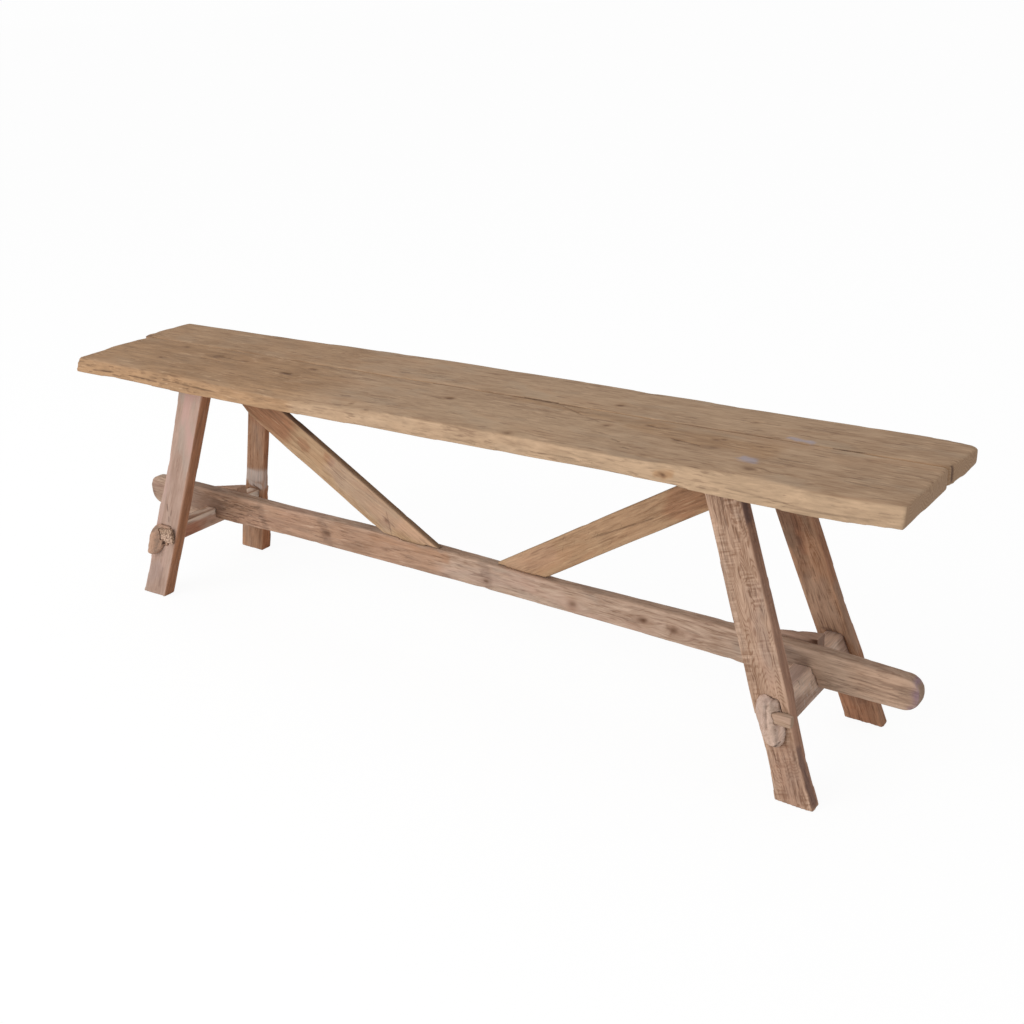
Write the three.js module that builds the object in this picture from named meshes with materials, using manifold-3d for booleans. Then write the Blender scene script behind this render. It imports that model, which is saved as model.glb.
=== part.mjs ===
/**
 * A rustic plank bench in old timber, in millimetres.
 *
 * +Z is up, X runs along the bench and -Y is the front. The origin lies on the floor under the
 * middle of the seat. Two planks, joined edge to edge by dowels, lie on four leaning legs. Each
 * pair of legs is tied by a cross rail that runs through both legs and is pegged outside them.
 * A long stretcher lies in a slot of each rail, held by a wedge behind it, and two braces climb
 * from the stretcher to the underside of the front plank.
 */
import * as THREE from "three";
import { mergeVertices } from "three/addons/utils/BufferGeometryUtils.js";
import Module from "manifold-3d";

const wasm = await Module();
wasm.setup();

// Seat
const seatTop = 470;
const seatThickness = 30;
const seatHalfLength = 800;
const seatHalfWidth = 152;
const seatJointY = 25;
const endWear = 28;
const endLean = 8;
const underLift = 6;
const underLiftReach = 44;
const arrisWear = 12;
const arrisWearReach = 40;
const dowelCount = 5;
const dowelPastLeg = 71;
const dowelDiameter = 12;
const dowelLength = 56;

// Legs: centre lines along X, set in from the seat's ends, and the inner faces across Y
const seatOverhang = 271;
const legSplayX = 146;
const legSplayY = 48;
const legHeadX = seatHalfLength - seatOverhang;
const legFootX = legHeadX + legSplayX;
const legHeadInnerY = 69;
const legFootInnerY = legHeadInnerY + legSplayY;
const legWidth = 60;
const legTenonShoulder = 9;
const legTenonHeight = 21;

// Cross rails
const railThickness = 28;
const railTop = 150;
const railSlotFloor = 138;
const railRearProud = 13;
const headLength = 18;
const headRoot = 3;
const headDrop = 4;
const headLump = 2;
const headSwellShare = 0.5;
const headRoundShare = 0.6;
const pegTipWall = 13;
const rearPegHeight = 16;
const rearPegDepth = 10;
const rearPegProud = 3;

// Long stretcher and its wedges: its ends lie past the legs' feet
const stretcherLeftReach = 132;
const stretcherRightReach = 122;
const stretcherLeftEnd = legFootX + stretcherLeftReach;
const stretcherRightEnd = legFootX + stretcherRightReach;
const stretcherThickness = 25;
const stretcherMiddleZ = 155;
const stretcherDepth = 58;
const stretcherEndRound = 24;
const stretcherArris = 1.5;
const wedgeThinSide = 3;
const wedgeThickSide = 26;

// Braces
const braceThickness = 14;
const braceArris = 1;
const braceNose = 70;
const braceNoseCut = 9;
const footTongueWidth = 58;
const footTongueDepth = 25;
const headTongueWidth = 40;
const headTongueHeight = 14;
const tongueThickness = 7;
const pinDiameter = 8;
const pinProud = 1.5;
const pinWall = 2;

// Clearances, and the overrun of a cut past the face that it opens
const fitGap = 0.3;
const cutOverrun = 20;
const weldDistance = 0.0001;

// Shape fineness
const plankSteps = 40;
const legSteps = 14;
const headSteps = 6;
const curveSteps = 6;
const roundSides = 16;

const halfShare = 0.5;
const seatUnder = seatTop - seatThickness;

// The two planks. Outer edges, top and under: [share of the half length, share of the half width].
// Wear of the outer top arris: [share of the half length, share of the wear]. Plank ends: [share of
// the plank's own width from its outer edge, share of the end wear]. Lift of the right end's lower
// edge: [share of the plank's own width from its outer edge, share of the lift]
const planks = {
  front: {
    face: -1, stepsAcross: 8, leftLean: endLean,
    topShares: [
      [-1, 0.934], [-0.75, 0.928], [-0.45, 0.941], [-0.22, 0.928], [-0.08, 0.918], [0.1, 0.895],
      [0.29, 0.899], [0.45, 0.934], [0.54, 0.901], [0.645, 0.849], [0.74, 0.789], [0.8, 0.829],
      [0.855, 0.899], [1, 0.855],
    ],
    underShares: [
      [-1, 0.98], [-0.78, 0.954], [-0.62, 1], [-0.4, 1], [-0.26, 0.967], [-0.09, 0.941],
      [0.01, 0.941], [0.19, 0.915], [0.44, 0.875], [0.6, 0.9], [0.64, 0.944], [0.76, 0.984],
      [0.875, 1], [0.92, 0.967], [1, 0.91],
    ],
    wearShares: [[-1, 0.2], [-0.5, 0.5], [-0.26, 1], [-0.15, 0.5], [-0.06, 0.18], [1, 0.18]],
    leftShares: [[0, 0.46], [0.28, 0.64], [0.49, 0.28], [0.6, 0.46], [0.82, 0.28], [0.9, 0.86], [1, 0.5]],
    rightShares: [[0, 0.04], [0.5, 0], [0.97, 0], [1, 0.25]],
    liftShares: [[0, 0], [1, 0]],
  },
  rear: {
    face: 1, stepsAcross: 6, leftLean: 0,
    topShares: [
      [-1, 0.935], [-0.61, 0.95], [-0.46, 0.975], [-0.25, 1], [-0.2, 1], [-0.07, 0.995],
      [0.16, 0.975], [0.35, 0.945], [0.47, 0.945], [0.54, 0.91], [0.61, 0.9], [0.8, 0.9],
      [0.895, 0.905], [0.956, 0.88], [1, 0.84],
    ],
    underShares: [[-1, 0.94], [-0.5, 0.96], [-0.15, 0.985], [0.4, 0.93], [0.8, 0.88], [1, 0.83]],
    wearShares: [[-1, 0.05], [1, 0.05]],
    leftShares: [[0, 0], [0.1, -0.13], [0.7, -0.17], [0.93, -0.09], [1, 0.09]],
    rightShares: [[0, 0.1], [0.05, -0.25], [0.3, -0.25], [0.9, -0.05], [1, 0.25]],
    liftShares: [[0, 1], [1, 0]],
  },
};

// Stretcher edges: [share of the longer half, share of the depth above its middle line]
const stretcherTopShares = [
  [-1, 0.51], [-0.78, 0.53], [-0.51, 0.52], [-0.27, 0.55], [0.03, 0.46], [0.24, 0.36], [0.6, 0.38],
  [0.82, 0.35], [1, 0.22],
];
const stretcherUnderShares = [
  [-1, -0.49], [-0.9, -0.49], [-0.872, -0.63], [-0.828, -0.63], [-0.8, -0.49], [-0.7, -0.49],
  [-0.5, -0.42], [0.05, -0.41], [0.4, -0.46], [0.6, -0.52], [0.82, -0.64], [1, -0.63],
];

// Legs: side is the end along X, face the row across Y. Edge shares: [share of the height,
// share of the leg width from its centre line], and thickness: [share of the height, share]
const legs = {
  leg_front_left: {
    side: -1, face: -1, thickness: 27,
    thicknessShares: [[0, 0.96], [1, 1]],
    outerShares: [
      [0, 0.545], [0.07, 0.5], [0.16, 0.48], [0.22, 0.51], [0.43, 0.5], [0.5, 0.45], [0.65, 0.41],
      [0.8, 0.45], [1, 0.53],
    ],
    innerShares: [[0, 0.49], [0.18, 0.51], [0.3, 0.54], [1, 0.56]],
  },
  leg_front_right: {
    side: 1, face: -1, thickness: 24,
    thicknessShares: [[0, 0.96], [0.5, 1], [1, 0.96]],
    outerShares: [
      [0, 0.49], [0.04, 0.48], [0.09, 0.43], [0.13, 0.41], [0.2, 0.43], [0.27, 0.44], [0.36, 0.5],
      [0.57, 0.51], [0.75, 0.49], [1, 0.48],
    ],
    innerShares: [[0, 0.5], [0.06, 0.44], [0.13, 0.42], [0.19, 0.43], [0.24, 0.475], [1, 0.48]],
  },
  leg_rear_left: {
    side: -1, face: 1, thickness: 26,
    thicknessShares: [[0, 1], [0.12, 1], [0.21, 0.55], [1, 0.5]],
    outerShares: [[0, 0.51], [0.15, 0.52], [0.28, 0.5], [0.38, 0.38], [0.6, 0.395], [1, 0.43]],
    innerShares: [[0, 0.53], [0.27, 0.53], [0.38, 0.47], [1, 0.47]],
  },
  leg_rear_right: {
    side: 1, face: 1, thickness: 22,
    thicknessShares: [[0, 0.96], [1, 1]],
    outerShares: [[0, 0.51], [0.08, 0.51], [0.3, 0.47], [0.45, 0.44], [0.55, 0.45], [0.7, 0.475], [1, 0.48]],
    innerShares: [[0, 0.515], [0.09, 0.485], [0.35, 0.485], [1, 0.49]],
  },
};

// Each end of the bench: its rail, the head shifted along X from the leg's centre line and below the
// rail's middle, the front peg, thin at its -X tip and thick at its +X butt, above that middle and
// past the leg's edge, and the wedge, from wedgeBefore to wedgeAfter along X from the rail's middle
const ends = {
  left: {
    side: -1, railUnder: 111, frontLeg: "leg_front_left", rearLeg: "leg_rear_left",
    headShift: -16, headHalfWidth: 21, headHalfHeight: 32, headBelow: 9.5,
    pegAbove: 4, pegTipHeight: 18, pegButtHeight: 32, pegDepth: 7, pegPast: -1,
    wedgeBefore: -19, wedgeAfter: 56, wedgeBeforeHeight: 43, wedgeAfterHeight: 52,
  },
  right: {
    side: 1, railUnder: 108, frontLeg: "leg_front_right", rearLeg: "leg_rear_right",
    headShift: -3, headHalfWidth: 21, headHalfHeight: 35, headBelow: 8,
    pegAbove: 0, pegTipHeight: 14, pegButtHeight: 17, pegDepth: 11, pegPast: 3,
    wedgeBefore: -55, wedgeAfter: 8, wedgeBeforeHeight: 44, wedgeAfterHeight: 43,
  },
};

// Braces: the upper edge meets the seat headInset short of the leg's centre line, and the stretcher
// at footX; then the width and the front face
const braces = {
  left: { side: -1, headInset: 38, footX: 42, width: 64, frontY: -12 },
  right: { side: 1, headInset: 17, footX: 71, width: 52, frontY: -5 },
};

const timber = { roughness: 0.82, metalness: 0 };
const colours = {
  seat: 0x9c8269,
  legPale: 0xb0917c,
  legBrown: 0xa98972,
  legShade: 0x8a6a55,
  rail: 0x9f8170,
  peg: 0xbba18f,
  stretcher: 0xa08270,
  brace: 0xa87f5f,
  hidden: 0xb99a78,
};

/** Reads a run of [place, value] shares at one place, straight between its points. */
function readShares(runShares, place) {
  let [before, value] = runShares[0];
  for (const [next, nextValue] of runShares) {
    if (place <= next) {
      const reach = next - before;
      return reach > 0 ? value + ((nextValue - value) * (place - before)) / reach : nextValue;
    }
    before = next;
    value = nextValue;
  }
  return value;
}

/** Goes straight from one value to another. */
function between(low, high, share) {
  return low + (high - low) * share;
}

/** Turns a closed geometry into a solid that can be joined and cut. */
function toSolid(geometry) {
  const bare = geometry.clone();
  bare.deleteAttribute("normal");
  bare.deleteAttribute("uv");
  const merged = mergeVertices(bare, weldDistance);
  return new wasm.Manifold(new wasm.Mesh({
    numProp: 3,
    vertProperties: new Float32Array(merged.attributes.position.array),
    triVerts: new Uint32Array(merged.index.array),
  }));
}

/** Turns a solid back into a geometry. */
function toGeometry(solid) {
  const mesh = solid.getMesh();
  const geometry = new THREE.BufferGeometry();
  geometry.setAttribute("position", new THREE.BufferAttribute(mesh.vertProperties, 3));
  geometry.setIndex(new THREE.BufferAttribute(mesh.triVerts, 1));
  geometry.computeVertexNormals();
  return geometry;
}

/** A closed box whose points go to place(u, v, w), with u, v and w from 0 to 1. */
function shapedBox([stepsU, stepsV, stepsW], place) {
  const box = new THREE.BoxGeometry(1, 1, 1, stepsU, stepsV, stepsW);
  const points = box.attributes.position;
  for (let i = 0; i < points.count; i += 1) {
    const u = points.getX(i) + halfShare;
    const v = points.getY(i) + halfShare;
    const w = points.getZ(i) + halfShare;
    points.setXYZ(i, ...place(u, v, w));
  }
  return toSolid(box);
}

/** A plain block between two corners. */
function block([lowX, lowY, lowZ], [highX, highY, highZ]) {
  return shapedBox([1, 1, 1], (u, v, w) => {
    return [between(lowX, highX, u), between(lowY, highY, v), between(lowZ, highZ, w)];
  });
}

/** A board cut to an outline in the XZ plane, with its front face at frontY. */
function boardFromOutline(outline, frontY, thickness, arris) {
  const geometry = new THREE.ExtrudeGeometry(outline, {
    depth: thickness - arris - arris,
    bevelEnabled: arris > 0,
    bevelThickness: arris,
    bevelSize: arris,
    bevelOffset: -arris,
    bevelSegments: 1,
    curveSegments: curveSteps,
  });
  geometry.rotateX(Math.PI / 2);
  geometry.translate(0, frontY + thickness - arris, 0);
  return toSolid(geometry);
}

/** A round bar along Y from lowY to highY. */
function barAlongY(x, z, diameter, lowY, highY) {
  const bar = new THREE.CylinderGeometry(diameter / 2, diameter / 2, highY - lowY, roundSides);
  bar.translate(x, (lowY + highY) / 2, z);
  return toSolid(bar);
}

/** Distance of a leg's centre line from the middle of the bench at a height. */
function legX(z) {
  return between(legFootX, legHeadX, z / seatUnder);
}

/** Distance of the legs' inner faces from the middle of the bench at a height. */
function legInnerY(z) {
  return between(legFootInnerY, legHeadInnerY, z / seatUnder);
}

/** Distance of one leg's outer face from the middle of the bench at a height. */
function legOuterY(leg, z) {
  return legInnerY(z) + leg.thickness * readShares(leg.thicknessShares, z / seatUnder);
}

/** Share of a leg's height at z. */
function legShare(z) {
  return z / seatUnder;
}

/** A leaning box along a leg: shareAt(z) reads its outline, a shoulder sets it in, a gap grows it. */
function alongLeg(leg, [lowZ, highZ], steps, shareAt, shoulder, gap) {
  return shapedBox([1, 1, steps], (u, v, w) => {
    const z = between(lowZ, highZ, w);
    const share = shareAt(z);
    const outward = leg.side > 0 ? u : 1 - u;
    const inner = -readShares(leg.innerShares, share) * legWidth + shoulder - gap;
    const outer = readShares(leg.outerShares, share) * legWidth - shoulder + gap;
    const x = leg.side * (legX(z) + between(inner, outer, outward));
    const back = leg.face > 0 ? v : 1 - v;
    const thickness = leg.thickness * readShares(leg.thicknessShares, share);
    const y = leg.face * (legInnerY(z) + between(-gap, thickness + gap, back));
    return [x, y, z];
  });
}

/** The tenon on top of a leg, or with a gap the mortise for it. */
function legTenon(leg, gap) {
  const low = seatUnder - legTenonShoulder;
  const heights = [gap > 0 ? low - cutOverrun : low, seatUnder + legTenonHeight + gap];
  return alongLeg(leg, heights, 1, () => 1, legTenonShoulder, gap);
}

/** A bar that leans with the legs of one end and runs across the bench between yAt(z). */
function railBar(end, yAt, [lowZ, highZ], gap) {
  const half = railThickness / 2 + gap;
  return shapedBox([1, 1, 1], (u, v, w) => {
    const z = between(lowZ - gap, highZ + gap, w);
    const [lowY, highY] = yAt(z);
    return [end.side * legX(z) + between(-half, half, u), between(lowY, highY, v), z];
  });
}

/** Height of the middle of an end's rail. */
function railMiddle(end) {
  return between(end.railUnder, railTop, halfShare);
}

/** The knobbly head of a rail, flat against the leg and domed towards the front. */
function railHead(end) {
  const leg = legs[end.frontLeg];
  return shapedBox([headSteps, headSteps / 2, headSteps], (u, v, w) => {
    const across = u + u - 1;
    const up = w + w - 1;
    const roundAcross = across * Math.sqrt(1 - (up * up) / 2);
    const roundUp = up * Math.sqrt(1 - (across * across) / 2);
    const forward = 1 - v;
    const swell = Math.sqrt(1 - headSwellShare * forward * forward);
    const lump = headLump * Math.sin(Math.PI * (across + up + up)) * forward;
    const z = railMiddle(end) - end.headBelow + roundUp * end.headHalfHeight * swell - headDrop * forward;
    const back = -legOuterY(leg, z) - fitGap;
    const length = headLength * (1 - headRoundShare * roundAcross * roundAcross * forward);
    const centre = end.side * legX(z) + end.headShift;
    return [centre + roundAcross * end.headHalfWidth * swell + lump, back - length * forward, z];
  });
}

/** A peg lying across the outer face of a leg, or with a gap its hole. */
function legPeg(leg, middleZ, [tipHeight, buttHeight], depth, [lowX, highX], gap) {
  const wall = legOuterY(leg, middleZ - buttHeight / 2) + fitGap - gap;
  const reach = wall + depth + gap + gap;
  const [lowY, highY] = leg.face > 0 ? [wall, reach] : [-reach, -wall];
  return shapedBox([1, 1, 1], (u, v, w) => {
    const half = between(tipHeight, buttHeight, u) / 2 + gap;
    return [
      between(lowX - gap, highX + gap, u),
      between(lowY, highY, v),
      between(middleZ - half, middleZ + half, w),
    ];
  });
}

/** The front peg of an end, driven through the rail's head from its +X side. */
function frontPeg(end, gap) {
  const middleZ = railMiddle(end) + end.pegAbove;
  const centre = end.side * legX(middleZ);
  const tipX = centre + end.headShift - end.headHalfWidth + pegTipWall;
  const buttX = centre + legWidth / 2 + end.pegPast;
  const heights = [end.pegTipHeight, end.pegButtHeight];
  return legPeg(legs[end.frontLeg], middleZ, heights, end.pegDepth, [tipX, buttX], gap);
}

/** The rear peg of an end, through the rail. */
function rearPeg(end, gap) {
  const centre = end.side * legX(railMiddle(end));
  const half = railThickness / 2 + rearPegProud;
  const heights = [rearPegHeight, rearPegHeight];
  const across = [centre - half, centre + half];
  return legPeg(legs[end.rearLeg], railMiddle(end), heights, rearPegDepth, across, gap);
}

/** The wedge behind the stretcher, thicker towards +X, or with a gap the room for it. */
function stretcherWedge(end, gap) {
  const low = railSlotFloor + fitGap - gap;
  const nearY = stretcherThickness / 2 + fitGap - gap;
  const centre = end.side * legX(railSlotFloor);
  return shapedBox([1, 1, 1], (u, v, w) => {
    const thick = between(wedgeThinSide, wedgeThickSide, u) + gap + gap;
    const top = railSlotFloor + between(end.wedgeBeforeHeight, end.wedgeAfterHeight, u);
    const x = centre + between(end.wedgeBefore - gap, end.wedgeAfter + gap, u);
    return [x, nearY + thick * v, between(low, top, w)];
  });
}

/** Height of the stretcher's upper or lower edge at a place along it. */
function stretcherEdge(edgeShares, x) {
  return stretcherMiddleZ + stretcherDepth * readShares(edgeShares, x / stretcherLeftEnd);
}

/** Outline of the stretcher, with its ends rounded off. */
function stretcherOutline() {
  const outline = new THREE.Shape();
  const left = stretcherEndRound - stretcherLeftEnd;
  const right = stretcherRightEnd - stretcherEndRound;
  const along = (edgeShares) => edgeShares.slice(1, -1).map(([place]) => place * stretcherLeftEnd);
  const top = (x) => stretcherEdge(stretcherTopShares, x);
  const under = (x) => stretcherEdge(stretcherUnderShares, x);
  outline.moveTo(left, top(left));
  along(stretcherTopShares).forEach((x) => outline.lineTo(x, top(x)));
  outline.absarc(right, top(right) - stretcherEndRound, stretcherEndRound, Math.PI / 2, 0, true);
  outline.absarc(right, under(right) + stretcherEndRound, stretcherEndRound, 0, -Math.PI / 2, true);
  along(stretcherUnderShares).reverse().forEach((x) => outline.lineTo(x, under(x)));
  outline.absarc(left, under(left) + stretcherEndRound, stretcherEndRound, -Math.PI / 2, -Math.PI, true);
  outline.absarc(left, top(left) - stretcherEndRound, stretcherEndRound, Math.PI, Math.PI / 2, true);
  return outline;
}

/** Places of one brace: its slope, and where its lower edge meets the stretcher. */
function bracePlan(brace) {
  const footZ = stretcherEdge(stretcherTopShares, brace.side * brace.footX);
  const headX = legHeadX - brace.headInset;
  const run = headX - brace.footX;
  const rise = seatUnder - footZ;
  const upright = (brace.width * Math.hypot(run, rise)) / run;
  const heelX = brace.footX + (upright * run) / rise;
  const noseX = headX + braceNose;
  const cutX = headX - braceNoseCut;
  const cutZ = seatUnder - upright - (braceNoseCut * rise) / run;
  const footMiddleX = between(brace.footX, heelX, halfShare);
  return { headX, heelX, noseX, cutX, cutZ, footMiddleX };
}

/** A brace's board, cut to the seat above and to the stretcher below. */
function braceBoard(brace) {
  const { headX, heelX, noseX, cutX, cutZ } = bracePlan(brace);
  const corners = [
    [headX, seatUnder - fitGap],
    [noseX, seatUnder - fitGap],
    [cutX, cutZ],
    [heelX, stretcherEdge(stretcherTopShares, brace.side * heelX) + fitGap],
    [brace.footX, stretcherEdge(stretcherTopShares, brace.side * brace.footX) + fitGap],
  ];
  const outline = new THREE.Shape(corners.map(([x, z]) => new THREE.Vector2(brace.side * x, z)));
  return boardFromOutline(outline, brace.frontY, braceThickness, braceArris);
}

/** The two tongues of a brace, or with a gap the mortises for them. */
function braceTongues(brace, gap) {
  const { headX, noseX, footMiddleX } = bracePlan(brace);
  const nearY = brace.frontY + (braceThickness - tongueThickness) / 2 - gap;
  const farY = nearY + tongueThickness + gap + gap;
  const root = gap > 0 ? gap + cutOverrun : braceArris + braceArris;
  const footZ = stretcherEdge(stretcherTopShares, brace.side * footMiddleX);
  const footHalf = footTongueWidth / 2 + gap;
  const headHalf = headTongueWidth / 2 + gap;
  const headMiddleX = brace.side * between(headX, noseX, halfShare);
  const footX = brace.side * footMiddleX;
  const foot = block(
    [footX - footHalf, nearY, footZ - footTongueDepth - gap],
    [footX + footHalf, farY, footZ + root],
  );
  const head = block(
    [headMiddleX - headHalf, nearY, seatUnder - root],
    [headMiddleX + headHalf, farY, seatUnder + headTongueHeight + gap],
  );
  return foot.add(head);
}

/** The pin that locks a brace's foot tongue, driven from behind, or with a gap its hole. */
function bracePin(brace, gap) {
  const x = brace.side * bracePlan(brace).footMiddleX;
  const z = stretcherEdge(stretcherTopShares, x) - footTongueDepth / 2;
  const tongueY = brace.frontY + (braceThickness - tongueThickness) / 2;
  const lowY = tongueY - pinWall - gap;
  const highY = stretcherThickness / 2 + (gap > 0 ? cutOverrun : pinProud);
  return barAlongY(x, z, pinDiameter + gap + gap, lowY, highY);
}

/** Places of the dowels along the planks' joint, the outer two just past the legs. */
function dowelPlaces() {
  const reach = legHeadX + dowelPastLeg;
  return Array.from({ length: dowelCount }, (_, i) => between(-reach, reach, i / (dowelCount - 1)));
}

/** One dowel across the planks' joint, or with a gap its hole. */
function seatDowel(x, gap) {
  const half = dowelLength / 2 + gap;
  const z = seatTop - seatThickness / 2;
  return barAlongY(x, z, dowelDiameter + gap + gap, seatJointY - half, seatJointY + half);
}

/** Steps that lie closer at both edges of a plank. */
function easedShare(share) {
  return share * share * (1 + 2 * (1 - share));
}

/** The body of one seat plank, before its holes. */
function plankBody(plank) {
  const jointY = seatJointY + plank.face * (fitGap / 2);
  return shapedBox([plankSteps, plank.stepsAcross, 2], (u, v, w) => {
    const along = u + u - 1;
    const inward = easedShare(plank.face > 0 ? 1 - v : v);
    const edge = between(readShares(plank.underShares, along), readShares(plank.topShares, along), w);
    const edgeY = plank.face * seatHalfWidth * edge;
    const y = between(edgeY, jointY, inward);
    const lean = plank.leftLean * (1 - w);
    const left = -seatHalfLength + endWear * readShares(plank.leftShares, inward) - lean;
    const right = seatHalfLength - endWear * readShares(plank.rightShares, inward);
    const x = between(left, right, u);
    const near = Math.max(0, 1 - Math.abs(y - edgeY) / arrisWearReach);
    const worn = arrisWear * readShares(plank.wearShares, along) * near * near * Math.max(0, w + w - 1);
    const nearEnd = Math.max(0, 1 - (right - x) / underLiftReach);
    const lifted = underLift * readShares(plank.liftShares, inward) * nearEnd * (1 - w) * (1 - w);
    return [x, y, between(seatUnder, seatTop, w) - worn + lifted];
  });
}

/** A seat plank with the mortises and dowel holes of what it holds. */
function seatPlank(plank) {
  let solid = plankBody(plank);
  for (const leg of Object.values(legs).filter((each) => each.face === plank.face)) {
    solid = solid.subtract(legTenon(leg, fitGap));
  }
  for (const x of dowelPlaces()) {
    solid = solid.subtract(seatDowel(x, fitGap));
  }
  return solid;
}

/** The front plank, which also takes the braces' upper tongues. */
function frontPlank() {
  const plank = seatPlank(planks.front);
  return plank.subtract(braceTongues(braces.left, fitGap)).subtract(braceTongues(braces.right, fitGap));
}

/** A leg with its tenon, and its mortise for the cross rail. */
function legSolid(leg) {
  const end = leg.side > 0 ? ends.right : ends.left;
  const body = alongLeg(leg, [0, seatUnder - fitGap], legSteps, legShare, 0, 0).add(legTenon(leg, 0));
  const reach = legFootInnerY + legWidth;
  const across = leg.face > 0 ? [0, reach] : [-reach, 0];
  return body.subtract(railBar(end, () => across, [end.railUnder, railTop], fitGap));
}

/** A cross rail with its head, its slot for the stretcher and its peg holes. */
function crossRail(end) {
  const rear = legOuterY(legs[end.rearLeg], end.railUnder) + railRearProud;
  const across = (z) => [-legOuterY(legs[end.frontLeg], z) - fitGap - headRoot, rear];
  const slotHalf = stretcherThickness / 2 + fitGap;
  const slotReach = railThickness + cutOverrun;
  const centre = end.side * legX(railSlotFloor);
  const slot = block(
    [centre - slotReach, -slotHalf, railSlotFloor],
    [centre + slotReach, slotHalf, railTop + cutOverrun],
  );
  return railBar(end, across, [end.railUnder, railTop], 0)
    .add(railHead(end))
    .subtract(slot)
    .subtract(stretcherWedge(end, fitGap))
    .subtract(frontPeg(end, fitGap))
    .subtract(rearPeg(end, fitGap));
}

/** The long stretcher, notched over the rails and mortised for the braces. */
function longStretcher() {
  const frontY = -stretcherThickness / 2;
  let solid = boardFromOutline(stretcherOutline(), frontY, stretcherThickness, stretcherArris);
  for (const end of Object.values(ends)) {
    const across = [-stretcherThickness, stretcherThickness];
    solid = solid.subtract(railBar(end, () => across, [end.railUnder - cutOverrun, railSlotFloor], fitGap));
  }
  for (const brace of Object.values(braces)) {
    solid = solid.subtract(braceTongues(brace, fitGap)).subtract(bracePin(brace, fitGap));
  }
  return solid;
}

/** A brace with its tongues, drilled for its pin. */
function braceSolid(brace) {
  return braceBoard(brace).add(braceTongues(brace, 0)).subtract(bracePin(brace, fitGap));
}

const bench = new THREE.Group();

/** Adds one named piece of timber to the bench. */
function addPiece(name, solid, colour) {
  const material = new THREE.MeshStandardMaterial({ color: colour, ...timber });
  const mesh = new THREE.Mesh(toGeometry(solid), material);
  mesh.name = name;
  bench.add(mesh);
}

addPiece("seat_front_plank", frontPlank(), colours.seat);
addPiece("seat_rear_plank", seatPlank(planks.rear), colours.seat);
dowelPlaces().forEach((x, i) => addPiece(`seat_dowel_${i + 1}`, seatDowel(x, 0), colours.hidden));
addPiece("leg_front_left", legSolid(legs.leg_front_left), colours.legPale);
addPiece("leg_front_right", legSolid(legs.leg_front_right), colours.legBrown);
addPiece("leg_rear_left", legSolid(legs.leg_rear_left), colours.legShade);
addPiece("leg_rear_right", legSolid(legs.leg_rear_right), colours.legShade);
for (const [name, end] of Object.entries(ends)) {
  addPiece(`cross_rail_${name}`, crossRail(end), colours.rail);
  addPiece(`rail_peg_front_${name}`, frontPeg(end, 0), colours.peg);
  addPiece(`rail_peg_rear_${name}`, rearPeg(end, 0), colours.peg);
  addPiece(`stretcher_wedge_${name}`, stretcherWedge(end, 0), colours.rail);
}
addPiece("long_stretcher", longStretcher(), colours.stretcher);
for (const [name, brace] of Object.entries(braces)) {
  addPiece(`brace_${name}`, braceSolid(brace), colours.brace);
  addPiece(`brace_pin_${name}`, bracePin(brace, 0), colours.peg);
}

export default bench;
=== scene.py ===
"""Looks of a rustic plank bench in old timber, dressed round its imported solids.

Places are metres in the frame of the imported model: the origin lies on the floor under the middle
of the seat, X runs along the bench, Y to the rear plank and Z up. The places of marks are
millimetres there. Every piece of timber is a close copy of its solid, worn, cracked and carved in
its own axes: along the grain, across it, and through the thickness.
"""
import itertools
import logging
import math
from dataclasses import dataclass, replace
from enum import Enum

import bmesh
import bpy
import numpy as np
from mathutils import Matrix, Vector


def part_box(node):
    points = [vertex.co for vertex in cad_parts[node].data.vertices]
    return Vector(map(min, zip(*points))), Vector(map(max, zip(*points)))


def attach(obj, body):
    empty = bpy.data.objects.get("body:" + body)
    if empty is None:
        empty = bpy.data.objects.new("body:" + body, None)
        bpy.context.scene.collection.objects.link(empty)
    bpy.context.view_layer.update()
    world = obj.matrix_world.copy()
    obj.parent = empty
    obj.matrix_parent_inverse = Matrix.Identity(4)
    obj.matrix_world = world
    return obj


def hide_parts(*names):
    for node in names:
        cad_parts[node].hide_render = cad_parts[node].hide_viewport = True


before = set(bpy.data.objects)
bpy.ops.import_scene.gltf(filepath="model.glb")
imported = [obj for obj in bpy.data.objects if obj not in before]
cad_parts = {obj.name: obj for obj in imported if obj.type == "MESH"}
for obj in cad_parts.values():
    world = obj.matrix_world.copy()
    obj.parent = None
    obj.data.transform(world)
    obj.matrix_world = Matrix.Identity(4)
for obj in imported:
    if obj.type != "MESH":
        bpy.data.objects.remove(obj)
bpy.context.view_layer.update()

LOG = logging.getLogger("bench")
BODY = "root"
MM = 0.001
WELD_DISTANCE = 0.001 * MM
WHITE = (1.0, 1.0, 1.0, 1.0)
Colour = tuple[float, float, float]
Paint = tuple[float, float, float, float]
Point = tuple[float, float, float]

# A point counts as on a side from SIDE_START of the way there, and fully SIDE_SPAN further on
SIDE_START = 0.3
SIDE_SPAN = 0.35
DIM_SHARE = 0.66
# The curve from a screen's values to linear ones: a straight foot, and a power above it
CURVE_FOOT = 0.04045
FOOT_SLOPE = 12.92
CURVE_SHIFT = 0.055
CURVE_POWER = 2.4
# Shortest and longest, or least and most, of what scattered marks draw, as shares of the whole
LENGTH_SPREAD = (0.35, 1.0)
CLIMB_SPREAD = (0.4, 1.4)
WIDTH_SPREAD = (0.6, 1.0)
STRENGTH_SPREAD = (0.5, 1.0)


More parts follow.
